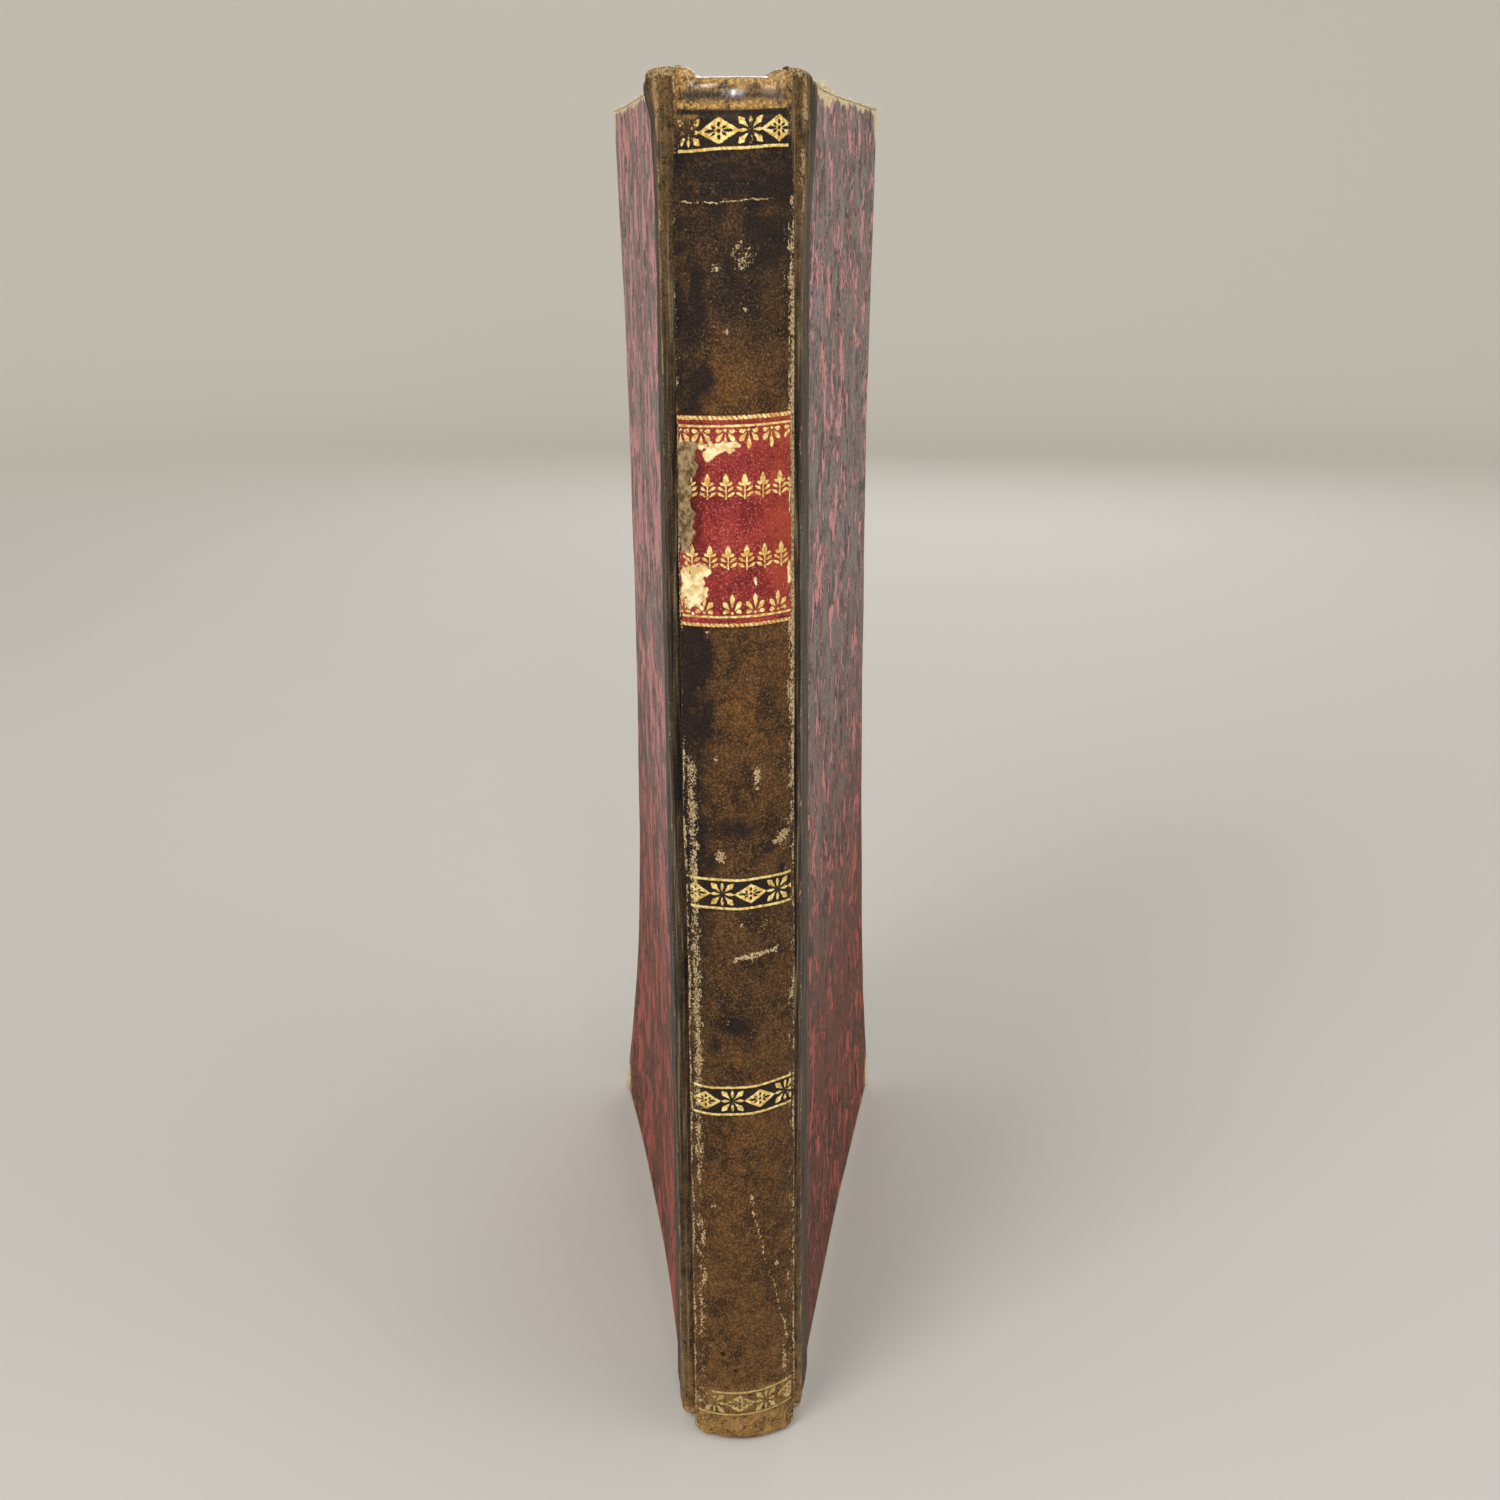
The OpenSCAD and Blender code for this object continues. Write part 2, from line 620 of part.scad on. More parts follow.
text_block();
flyleaf(1);  // front_flyleaf
flyleaf(-1);  // back_flyleaf
spine_lining();
sewing_thread();
endband_core(1);  // head_endband_core
endband_silk(1);  // head_endband_silk
endband_core(-1);  // tail_endband_core
endband_silk(-1);  // tail_endband_silk
spine_card();
spine_leather();
title_label();
spine_gilding();
label_gilding();
front_cover() board(front_lean);  // front_board
front_cover() side_paper(front_lean);  // front_side_paper
front_cover() side_leather();  // front_side_leather
front_cover() infill(front_lean);  // front_infill
front_cover() pastedown(front_lean);  // front_pastedown
back_cover() board(back_lean);  // back_board
back_cover() side_paper(back_lean);  // back_side_paper
back_cover() side_leather();  // back_side_leather
back_cover() infill(back_lean);  // back_infill
back_cover() pastedown(back_lean);  // back_pastedown
for (i = [1:cords]) {
    sewing_cord(i);
    front_cover() cord_slip(i, front_lean);
    back_cover() cord_slip(i, back_lean);
}
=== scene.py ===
"""An old quarter-leather book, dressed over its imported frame: from the camera in to the gilding."""

import bmesh
import bpy
import numpy as np
from mathutils import Matrix, Vector


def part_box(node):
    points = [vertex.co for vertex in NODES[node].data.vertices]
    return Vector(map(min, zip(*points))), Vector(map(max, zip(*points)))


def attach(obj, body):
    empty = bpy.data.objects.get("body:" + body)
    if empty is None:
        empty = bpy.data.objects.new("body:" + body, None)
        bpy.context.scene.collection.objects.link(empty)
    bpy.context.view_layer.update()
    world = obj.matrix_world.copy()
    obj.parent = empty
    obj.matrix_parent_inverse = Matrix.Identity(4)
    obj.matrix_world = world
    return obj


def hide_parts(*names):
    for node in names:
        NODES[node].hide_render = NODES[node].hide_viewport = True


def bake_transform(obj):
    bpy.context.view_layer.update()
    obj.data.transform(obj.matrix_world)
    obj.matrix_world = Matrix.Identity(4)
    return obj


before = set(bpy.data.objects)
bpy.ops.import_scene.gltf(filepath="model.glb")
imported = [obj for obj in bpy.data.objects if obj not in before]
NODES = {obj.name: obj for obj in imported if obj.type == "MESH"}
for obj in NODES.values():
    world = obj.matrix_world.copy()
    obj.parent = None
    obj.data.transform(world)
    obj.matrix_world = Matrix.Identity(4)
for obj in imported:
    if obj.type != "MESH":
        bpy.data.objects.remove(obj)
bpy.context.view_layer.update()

# The book's own place. Everything below is drawn in millimetres from the foot of the spine panel's
# middle line: X across the spine, Y from the spine towards the fore-edge, Z up from the tail.
MM = 0.001
CAP_BULGE = 0.25
leather_lo, leather_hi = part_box("spine_leather")
SPINE_FOOT = np.array([(leather_lo.x + leather_hi.x) / 2, leather_lo.y + CAP_BULGE * MM, 0]) / MM


# Camera: level with the head of the book and a little left of it, looking down at the spine. The three
# directions and the lens come from a fit to the edges and corners of the real book.
EYE = Vector((-19.152, -259.591, 192.298))
RIGHT = Vector((0.9966976, -0.08092262, -0.00673942))
UP = Vector((0.0295735, 0.28444299, 0.95823671))
FORWARD = Vector((0.07562605, 0.95527154, -0.28589681))
FOCAL_PX = 1918.5
FRAME_PX = 1500
SENSOR_W = 36

lens = bpy.data.cameras.new("camera")
lens.sensor_width = SENSOR_W
lens.lens = FOCAL_PX / FRAME_PX * SENSOR_W
camera = bpy.data.objects.new("camera", lens)
bpy.context.scene.collection.objects.link(camera)
stand = Matrix((RIGHT, UP, -FORWARD)).transposed().to_4x4()
stand.translation = (Vector(SPINE_FOOT) + EYE) * MM
camera.matrix_world = stand
bpy.context.scene.camera = camera
bpy.context.scene.view_settings.view_transform = "Standard"


# Studio: a pale floor that curves up into a pale wall, a soft even light all round, a broad soft lamp
# before and left of the book, weaker ones on its right and behind it, and a small one for the glazed cap.
def colour(red, green, blue):
    """Linear colour of a screen colour whose three parts run from 0 to 255."""
    parts = np.array([red, green, blue]) / 255
    return (*np.where(parts <= 0.04045, parts / 12.92, ((parts + 0.055) / 1.055) ** 2.4).tolist(), 1)


def feed(tree, socket, value):
    """Links another node's output to a socket, or writes a plain value into it."""
    if isinstance(value, bpy.types.NodeSocket):
        tree.links.new(value, socket)
    else:
        socket.default_value = value


def node(tree, kind, settings=None, **sockets):
    """Adds a shader node, sets its options and feeds the sockets that are named."""
    made = tree.nodes.new("ShaderNode" + kind)
    for name, value in (settings or {}).items():
        setattr(made, name, value)
    for name, value in sockets.items():
        feed(tree, made.inputs[name.replace("_", " ")], value)
    return made


def calc(tree, operation, *values):
    """Adds a Math node over the values and gives its result."""
    made = node(tree, "Math", {"operation": operation})
    for socket, value in zip(made.inputs, values):
        feed(tree, socket, value)
    return made.outputs[0]


def times(tree, value, factor):
    """One value times another."""
    return calc(tree, "MULTIPLY", value, factor)


def weighted(tree, *pairs):
    """Sum of values, each times its own weight."""
    total, *others = [times(tree, value, weight) for value, weight in pairs]
    for other in others:
        total = calc(tree, "ADD", total, other)
    return total


def fade(tree, value, start, end, low=0.0, high=1.0):
    """A value's smooth step from low at start to high at end."""
    made = node(tree, "MapRange", {"interpolation_type": "SMOOTHSTEP"}, Value=value, From_Min=start,
                From_Max=end, To_Min=low, To_Max=high)
    return made.outputs[0]


def mixed(tree, share, under, over, way="MIX"):
    """The second colour laid over the first by a share from 0 to 1."""
    made = node(tree, "Mix", {"data_type": "RGBA", "blend_type": way})
    for place, value in zip((0, 6, 7), (share, under, over)):
        feed(tree, made.inputs[place], value)
    return made.outputs[2]


def noise(tree, place, scale, detail=2.0, roughness=0.5, distortion=0.0, size=None):
    """Cloudy noise with features of about 1 / scale mm; size stretches it along X, Y and Z."""
    if size is not None:
        place = node(tree, "Mapping", Vector=place, Scale=size).outputs[0]
    return node(tree, "TexNoise", Vector=place, Scale=scale, Detail=detail, Roughness=roughness,
                Distortion=distortion).outputs[0]


def new_material(name):
    """An empty node material and its tree."""
    made = bpy.data.materials.new(name)
    made.use_nodes = True
    made.node_tree.nodes.clear()
    return made, made.node_tree


def finish_surface(tree, base, roughness, height=None, depth=0.1, **constants):
    """The material's own Principled shader, with a bump of the given depth in mm."""
    shader = node(tree, "BsdfPrincipled", Base_Color=base, Roughness=roughness, **constants)
    if height is not None:
        bump = node(tree, "Bump", Height=height, Strength=1.0, Distance=depth * MM)
        tree.links.new(bump.outputs[0], shader.inputs["Normal"])
    node(tree, "OutputMaterial", Surface=shader.outputs[0])


FLOOR_COLOUR = colour(206, 203, 197)
WALL_COLOUR = colour(192, 188, 179)

floor_finish, tree = new_material("pale floor")
floor_place = node(tree, "TexCoord").outputs["Object"]
floor_cloud = noise(tree, floor_place, 9.0, 4.0)
# painted light: the floor and its sweep up to the wall turn paler with distance from the book, standing in
# for lamp light that falls off there
painted_light_distance = node(tree, "VectorMath", {"operation": "LENGTH"}, Vector=floor_place).outputs["Value"]
floor_tone = mixed(tree, floor_cloud, FLOOR_COLOUR, colour(208, 205, 199))
finish_surface(tree, mixed(tree, fade(tree, painted_light_distance, 0.6, 1.5), floor_tone, colour(233, 228, 217)), 0.85,
               Specular_IOR_Level=0.1)

FLOOR_HALF = 4.0
SWEEP_AT = 1.1
SWEEP_R = 0.9
sweep = np.linspace(0, np.pi / 2, 25)
side_y = np.concatenate([[-FLOOR_HALF, 0], SWEEP_AT + SWEEP_R * np.sin(sweep), [SWEEP_AT + SWEEP_R]])
side_z = np.concatenate([[0, 0], SWEEP_R - SWEEP_R * np.cos(sweep), [FLOOR_HALF]])
floor_points = [(x, y, z) for x in (-FLOOR_HALF, FLOOR_HALF) for y, z in zip(side_y, side_z)]
step = side_y.size
floor_mesh = bpy.data.meshes.new("floor")
floor_mesh.from_pydata(floor_points, [], [(i, i + step, i + step + 1, i + 1) for i in range(step - 1)])
floor_mesh.polygons.foreach_set("use_smooth", np.ones(step - 1, dtype=bool))
floor_mesh.materials.append(floor_finish)
floor = bpy.data.objects.new("floor", floor_mesh)
bpy.context.scene.collection.objects.link(floor)

SKY_LIGHT = 0.62
world = bpy.data.worlds.new("studio")
world.use_nodes = True
tree = world.node_tree
tree.nodes.clear()
rays = node(tree, "LightPath")
mirrored = calc(tree, "MAXIMUM", rays.outputs["Is Glossy Ray"], rays.outputs["Is Transmission Ray"])
seen = calc(tree, "MAXIMUM", rays.outputs["Is Camera Ray"], mirrored)
even = node(tree, "Background", Color=(1, 0.985, 0.96, 1), Strength=SKY_LIGHT)
wall = node(tree, "Background", Color=WALL_COLOUR, Strength=1.0)
both = node(tree, "MixShader", Fac=seen)
tree.links.new(even.outputs[0], both.inputs[1])
tree.links.new(wall.outputs[0], both.inputs[2])
node(tree, "OutputWorld", Surface=both.outputs[0])
bpy.context.scene.world = world


def lamp(name, place, size, power, target=(0, 40, 110)):
    """A square soft lamp at a place in mm, turned towards a target, else the middle of the book."""
    light = bpy.data.lights.new(name, "AREA")
    light.size = size * MM
    light.energy = power
    made = bpy.data.objects.new(name, light)
    made.location = (Vector(SPINE_FOOT) + Vector(place)) * MM
    aim = (Vector(SPINE_FOOT) + Vector(target)) * MM - made.location
    made.rotation_euler = aim.to_track_quat("-Z", "Y").to_euler()
    bpy.context.scene.collection.objects.link(made)


lamp("key lamp", (-520, -560, 700), 420, 3.6)
lamp("side lamp", (700, -300, 420), 500, 1.3)
lamp("back lamp", (200, 900, 500), 500, 1.6)
lamp("cap lamp", (46, -600, 240), 60, 1.0, (0, 0, 203))


# Leaves: fourteen gatherings of old rag paper, cream and a little foxed, browner towards the edges where
# air and dust reached them. The head edge is dusty; all three edges are cut rough.
def place_mm(tree, centre=(0, 0, 0)):
    """Object coordinates in mm, measured from a centre given in the book's own mm."""
    spot = tuple((-SPINE_FOOT - np.array(centre)).tolist())
    return node(tree, "Mapping", Vector=node(tree, "TexCoord").outputs["Object"], Location=spot,
                Scale=(1 / MM,) * 3).outputs[0]


def dress(finish, *names):
    """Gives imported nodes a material."""
    for name in names:
        mesh = NODES[name].data
        mesh.materials.clear()
        mesh.materials.append(finish)


def group(name, inputs, outputs):
    """An empty node group with named float, colour or vector sockets, its tree, input and output nodes."""
    kinds = {"f": "NodeSocketFloat", "c": "NodeSocketColor", "v": "NodeSocketVector"}
    made = bpy.data.node_groups.new(name, "ShaderNodeTree")
    for title, kind in inputs.items():
        made.interface.new_socket(title, in_out="INPUT", socket_type=kinds[kind])
    for title, kind in outputs.items():
        made.interface.new_socket(title, in_out="OUTPUT", socket_type=kinds[kind])
    return made, made.nodes.new("NodeGroupInput").outputs, made.nodes.new("NodeGroupOutput").inputs


def placed(tree, made, **inputs):
    """Places a node group in a tree and gives its outputs."""
    spot = tree.nodes.new("ShaderNodeGroup")
    spot.node_tree = made
    for name, value in inputs.items():
        feed(tree, spot.inputs[name.replace("_", " ")], value)
    return spot.outputs


# rag paper: fibres, cloudy browning and fox spots
rag_paper, given, out = group("rag paper", {"Place": "v", "Clean": "c", "Browned": "c", "Foxing": "f"},
                              {"Colour": "c", "Height": "f"})
cloud = noise(rag_paper, given["Place"], 0.045, 5.0, 0.6)
fibre = noise(rag_paper, given["Place"], 2.2, 4.0, 0.7, 0.6)
spots = noise(rag_paper, given["Place"], 0.19, 3.0, 0.55)
tone = mixed(rag_paper, fade(rag_paper, cloud, 0.36, 0.68), given["Clean"], given["Browned"])
tone = mixed(rag_paper, fade(rag_paper, fibre, 0.45, 0.75, 0, 0.3), tone, given["Browned"])
fox = times(rag_paper, fade(rag_paper, spots, 0.64, 0.76), given["Foxing"])
feed(rag_paper, out["Colour"], mixed(rag_paper, fox, tone, colour(150, 104, 62)))
feed(rag_paper, out["Height"], fibre)

PAPER_CLEAN = colour(222, 208, 176)
PAPER_BROWNED = colour(196, 172, 130)

leaf_finish, tree = new_material("leaves")
place = place_mm(tree)
paper = placed(tree, rag_paper, Place=place, Clean=PAPER_CLEAN, Browned=PAPER_BROWNED, Foxing=0.6)
finish_surface(tree, paper["Colour"], 0.86, paper["Height"], 0.05, Specular_IOR_Level=0.2)
dress(leaf_finish, "text_block")


def put(name, points, faces, finish, body=None, replaced=None, slot=None, **fields):
    """Makes a mesh piece from points in the book's mm, turns its faces outwards and stores the fields,
    one number for each point, for its material to read."""
    mesh = bpy.data.meshes.new(name)
    mesh.from_pydata((points + SPINE_FOOT) * MM, [], faces.tolist())
    for title, values in fields.items():
        stored = mesh.attributes.new(title, "FLOAT", "POINT")
        stored.data.foreach_set("value", values.astype(np.float32).ravel())
    flesh = bmesh.new()
    flesh.from_mesh(mesh)
    bmesh.ops.recalc_face_normals(flesh, faces=flesh.faces)
    flesh.to_mesh(mesh)
    flesh.free()
    mesh.polygons.foreach_set("use_smooth", np.ones(len(mesh.polygons), dtype=bool))
    mesh.materials.append(finish)
    made = bpy.data.objects.new(name, mesh)
    bpy.context.scene.collection.objects.link(made)
    if body:
        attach(made, body)
    if replaced:
        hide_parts(replaced)
    return made


def grid_faces(ids):
    """Four-sided faces between the neighbours of a grid of point numbers."""
    return np.stack([ids[:-1, :-1], ids[1:, :-1], ids[1:, 1:], ids[:-1, 1:]], -1).reshape(-1, 4)


def skin(outer, inner):
    """Closed skin between two grids of points: the outer one, the inner one and a rim round both."""
    rows, columns = outer.shape[:2]
    ids = np.arange(rows * columns).reshape(rows, columns)
    edge = np.concatenate([ids[0, :], ids[1:, -1], ids[-1, -2::-1], ids[-2:0:-1, 0]])
    after = np.roll(edge, -1)
    rim = np.stack([edge, after, after + ids.size, edge + ids.size], -1)
    faces = np.concatenate([grid_faces(ids), grid_faces(ids)[:, ::-1] + ids.size, rim])
    return np.concatenate([outer.reshape(-1, 3), inner.reshape(-1, 3)]), faces


def facing(points, side=1.0):
    """Unit normals of a grid, the cross product of the steps along its rows and its columns."""
    across = np.cross(np.gradient(points, axis=0), np.gradient(points, axis=1)) * side
    return across / np.maximum(np.linalg.norm(across, axis=-1, keepdims=True), 1e-9)


def smooth(value, start, end):
    """Smooth step from 0 at start to 1 at end."""
    share = np.clip((value - start) / (end - start), 0, 1)
    return share * share * (3 - 2 * share)


def ripple(seed, where, *waves):
    """Sum of sines of random phase over one coordinate: pairs of wavelength in mm and height."""
    phases = np.random.RandomState(seed).uniform(0, 2 * np.pi, len(waves))
    return sum(height * np.sin(2 * np.pi * where / length + phase)
               for (length, height), phase in zip(waves, phases))


# the cut edges themselves: each leaf ends a hair's breadth before or behind its neighbour, and each
# gathering swells a little. One belt of them runs along the tail, up the fore-edge and back along the head.
LEAVES_T = 11.8
HEAD_Z = 202.0
TAIL_Z = 3.0
BACK_Y = 9.6
FORE_Y = 126.1
HOLLOW = 2.2
LEAF_COUNT = 112
LEAF_STEP = 0.12
GATHERINGS = 14
BELT_STEP = 2.0
FORE_ROWS = 98

edge_finish, tree = new_material("leaf edges")
place = place_mm(tree)
paper = placed(tree, rag_paper, Place=place, Clean=colour(206, 186, 144), Browned=colour(160, 130, 88),
               Foxing=0.7)
lines = noise(tree, place, 1.0, 2.0, 0.5, size=(8.5, 0.12, 0.12))
dust = noise(tree, place, 0.07, 4.0, 0.6)
lined = mixed(tree, fade(tree, lines, 0.42, 0.6, 0, 0.75), paper["Colour"], colour(128, 104, 70))
dusty = mixed(tree, fade(tree, dust, 0.45, 0.75, 0, 0.55), lined, colour(112, 96, 74))
finish_surface(tree, dusty, 0.9, lines, 0.12, Specular_IOR_Level=0.15)

across = np.linspace(-LEAVES_T / 2 + 0.02, LEAVES_T / 2 - 0.02, 2 * LEAF_COUNT + 1)
tail_y = np.arange(BACK_Y, FORE_Y, BELT_STEP)
walk_y = np.concatenate([tail_y, np.full(FORE_ROWS, FORE_Y), np.arange(FORE_Y, BACK_Y, -BELT_STEP)])
walk_z = np.concatenate([np.full(tail_y.size, TAIL_Z), np.linspace(TAIL_Z + 0.5, HEAD_Z - 0.5, FORE_ROWS),
                         np.full(tail_y.size, HEAD_Z)])
level, ahead = np.zeros(tail_y.size), np.ones(FORE_ROWS)
out_y = np.concatenate([level, ahead, level])
out_z = np.concatenate([level - 1, 0 * ahead, level + 1])
leaf_rng = np.random.RandomState(7)
leaf_of = np.minimum((np.arange(across.size) // 2), LEAF_COUNT - 1)
proud = leaf_rng.uniform(0.0, 0.2, LEAF_COUNT)[leaf_of]
proud = proud + LEAF_STEP * np.sin(across / LEAVES_T * GATHERINGS * np.pi) ** 2
proud = proud - LEAF_STEP * (np.arange(across.size) % 2)
belt_at = BELT_STEP * np.arange(walk_y.size)
sway = np.stack([ripple(11 + k, belt_at, (37, 0.05), (13, 0.03)) for k in range(LEAF_COUNT)])
lift = np.clip(0.04 + proud[None, :] + sway[leaf_of].T, 0.02, 0.45)
hollow = HOLLOW * (1 - (2 * across / LEAVES_T) ** 2)
fore = out_y[:, None] > 0
edge_y = walk_y[:, None] + out_y[:, None] * (lift - hollow[None, :])
edge_y = np.where(fore, edge_y, np.minimum(edge_y, FORE_Y - hollow[None, :] + 0.02))
edge_z = walk_z[:, None] + out_z[:, None] * lift
belt = np.stack([np.broadcast_to(across, edge_y.shape), edge_y, edge_z], -1)
inside = belt - np.stack([np.zeros_like(edge_y), np.broadcast_to(out_y[:, None], edge_y.shape),
                          np.broadcast_to(out_z[:, None], edge_y.shape)], -1) * 0.5
put("leaf_edges", *skin(belt, inside), edge_finish, "book_block", slot="leaves")


# Endpapers: a flyleaf on each side of the leaves and a pastedown inside each cover, plain laid paper.
endpaper_finish, tree = new_material("endpapers")
place = place_mm(tree)
paper = placed(tree, rag_paper, Place=place, Clean=colour(226, 214, 186), Browned=colour(198, 174, 134),
               Foxing=1.0)
laid = node(tree, "TexWave", {"wave_type": "BANDS", "bands_direction": "Z"}, Vector=place, Scale=0.32,
            Distortion=0.4, Detail=1.0).outputs["Fac"]
laid_tone = mixed(tree, times(tree, laid, 0.08), paper["Colour"], colour(176, 156, 118))
finish_surface(tree, laid_tone, 0.85, weighted(tree, (paper["Height"], 1.0), (laid, 0.5)), 0.04,
               Specular_IOR_Level=0.2)
dress(endpaper_finish, "front_flyleaf", "back_flyleaf", "front_pastedown", "back_pastedown")


# Spine lining, sewing and endbands: waste paper glued over the gatherings' backs, linen thread round
# four sunken hemp cords, and a wound silk endband at head and tail.
lining_finish, tree = new_material("lining paper")
place = place_mm(tree)
paper = placed(tree, rag_paper, Place=place, Clean=colour(196, 176, 134), Browned=colour(150, 122, 82),
               Foxing=0.4)
finish_surface(tree, paper["Colour"], 0.85, paper["Height"], 0.08)
dress(lining_finish, "spine_lining")

card_finish, tree = new_material("grey card")
place = place_mm(tree)
speck = noise(tree, place, 3.0, 4.0, 0.7)
finish_surface(tree, mixed(tree, speck, colour(126, 112, 88), colour(168, 150, 118)), 0.9, speck, 0.08)
dress(card_finish, "spine_card", "front_infill", "back_infill")

cord_finish, tree = new_material("hemp cord")
place = place_mm(tree)
twist = noise(tree, place, 2.4, 3.0, 0.6, 1.0, size=(1, 1, 3))
finish_surface(tree, mixed(tree, twist, colour(150, 126, 84), colour(196, 172, 124)), 0.9, twist, 0.15)
dress(cord_finish, *[f"sewing_cord_{i}" for i in range(1, 5)],
      *[f"{side}_cord_slip_{i}" for side in ("front", "back") for i in range(1, 5)],
      "head_endband_core", "tail_endband_core")

thread_finish, tree = new_material("linen thread")
place = place_mm(tree)
ply = noise(tree, place, 6.0, 2.0)
finish_surface(tree, mixed(tree, ply, colour(186, 168, 128), colour(222, 206, 168)), 0.8, ply, 0.05)
dress(thread_finish, "sewing_thread")

silk_finish, tree = new_material("endband silk")
SPINE_R = 10.306
place = place_mm(tree, (0, SPINE_R, 0))
turn = node(tree, "SeparateXYZ", Vector=place).outputs
angle = calc(tree, "ARCTAN2", turn["X"], times(tree, turn["Y"], -1.0))
SILK_STEP = np.radians(3.4)
step = calc(tree, "FLOORED_MODULO", calc(tree, "DIVIDE", angle, 4 * SILK_STEP), 1.0)
stripe = fade(tree, step, 0.46, 0.54)
lustre = noise(tree, place, 5.0, 2.0)
dyed = mixed(tree, stripe, colour(122, 38, 36), colour(206, 186, 140))
soiled = mixed(tree, times(tree, lustre, 0.35), dyed, colour(112, 84, 60))
finish_surface(tree, soiled, 0.45, lustre, 0.04, Sheen_Weight=0.4)
dress(silk_finish, "head_endband_silk", "tail_endband_silk")


# Boards: grey-brown pasteboard, felted in layers, bare only where the covering has worn through.
board_finish, tree = new_material("pasteboard")
place = place_mm(tree)
layers = noise(tree, place, 1.2, 4.0, 0.65, 0.3)
felt = noise(tree, place, 4.5, 3.0, 0.6)
board_tone = mixed(tree, layers, colour(148, 124, 88), colour(196, 172, 130))
board_tone = mixed(tree, fade(tree, felt, 0.5, 0.75, 0, 0.4), board_tone, colour(112, 92, 66))
finish_surface(tree, board_tone, 0.92, felt, 0.12)
dress(board_finish, "front_board", "back_board")


# Spine leather: one piece of brown calf, glued over the card, turned in at head and tail and rolled over
# the endbands into caps. It was sprinkled with dark dye and glazed; the ridges, the joints and the tail
# are rubbed pale, and the grain shows as fine light specks.
LEATHER_FIELDS = ("Worn", "Warm", "InkAndShade", "Ochre", "Dusty", "Glazed", "Creased")
grained_leather, given, out = group("grained leather", {"Place": "v", **dict.fromkeys(LEATHER_FIELDS, "f")},
                                    {"Colour": "c", "Roughness": "f", "Height": "f", "Coat": "f"})
L = grained_leather
spot = given["Place"]
cloud = noise(L, spot, 0.16, 5.0, 0.6, 0.4)
mottle = noise(L, spot, 0.55, 4.0, 0.62, 0.5)
grain = node(L, "TexVoronoi", {"feature": "F1"}, Vector=spot, Scale=2.3, Randomness=1.0).outputs["Distance"]
fine = noise(L, spot, 3.4, 3.0, 0.62)
broad = noise(L, spot, 0.11, 3.0, 0.5, 0.3)
tone = mixed(L, fade(L, cloud, 0.4, 0.6), colour(42, 30, 21), colour(88, 61, 36))
tone = mixed(L, times(L, fade(L, mottle, 0.5, 0.66), 0.6), tone, colour(110, 77, 41))
sprinkled = times(L, fade(L, mottle, 0.44, 0.32), calc(L, "MULTIPLY_ADD", given["Warm"], -0.75, 0.7))
tone = mixed(L, sprinkled, tone, colour(28, 22, 19))
warm = times(L, given["Warm"], fade(L, weighted(L, (mottle, 0.6), (cloud, 0.4)), 0.34, 0.62, 0.3, 1.0))
tone = mixed(L, times(L, warm, 0.8), tone, colour(136, 88, 38))
wrinkle = noise(L, spot, 1.0, 3.0, 0.6, 0.3, size=(0.5, 0.5, 1.9))
tone = mixed(L, fade(L, wrinkle, 0.5, 0.4, 0.0, 0.28), tone, colour(46, 34, 24))
ochre = times(L, given["Ochre"], fade(L, weighted(L, (mottle, 0.7), (fine, 0.3)), 0.36, 0.56))
tone = mixed(L, ochre, tone, colour(212, 166, 96))
tone = mixed(L, fade(L, grain, 0.32, 0.6, 0.0, 0.5), tone, colour(20, 15, 12))
pitch = times(L, fade(L, grain, 0.1, 0.45), fade(L, fine, 0.54, 0.66))
tone = mixed(L, times(L, pitch, 0.5), tone, colour(150, 122, 86))
tone = mixed(L, fade(L, grain, 0.22, 0.06, 0.0, 0.3), tone, colour(136, 104, 68))
broken = weighted(L, (broad, 0.45), (mottle, 0.55))
# dark dye, and down in the grooves painted shade, as the mesh stores it
ink = fade(L, times(L, given["InkAndShade"], calc(L, "MULTIPLY_ADD", broken, 3.4, -0.7)), 0.3, 0.68)
tone = mixed(L, times(L, ink, 0.82), tone, colour(22, 20, 23))
fold = noise(L, spot, 1.0, 3.0, 0.6, 0.2, size=(1.7, 1.7, 0.06))
creased = given["Creased"]
tone = mixed(L, times(L, creased, 0.5), tone, colour(64, 55, 44))
tone = mixed(L, times(L, creased, fade(L, fold, 0.5, 0.4, 0.0, 0.9)), tone, colour(19, 17, 17))
tone = mixed(L, times(L, creased, fade(L, fold, 0.56, 0.66, 0.0, 0.6)), tone, colour(140, 126, 98))
rubbed = fade(L, weighted(L, (given["Worn"], 0.34), (fine, 0.55), (mottle, 0.45)), 0.665, 0.75)
rub_tone = mixed(L, fade(L, fine, 0.4, 0.62), colour(140, 112, 74), colour(206, 182, 138))
tone = mixed(L, times(L, rubbed, 0.9), tone, rub_tone)
dust = times(L, given["Dusty"], fade(L, weighted(L, (fine, 0.5), (mottle, 0.5)), 0.34, 0.6))
tone = mixed(L, times(L, dust, 0.9), tone, colour(172, 132, 78))
feed(L, out["Colour"], tone)
rough = fade(L, cloud, 0.3, 0.7, 0.36, 0.48)
feed(L, out["Roughness"], weighted(L, (rough, 1.0), (rubbed, 0.25), (given["Dusty"], 0.2),
                                   (given["Glazed"], -0.29)))
feed(L, out["Coat"], fade(L, given["Glazed"], 0.2, 1.0))
pebble = weighted(L, (grain, -0.7), (fine, 0.6), (wrinkle, 0.5), (mottle, 0.6))
pebble = times(L, pebble, calc(L, "MULTIPLY_ADD", given["Glazed"], -0.75, 1.0))
feed(L, out["Height"], calc(L, "ADD", pebble, times(L, creased, times(L, fold, 2.4))))


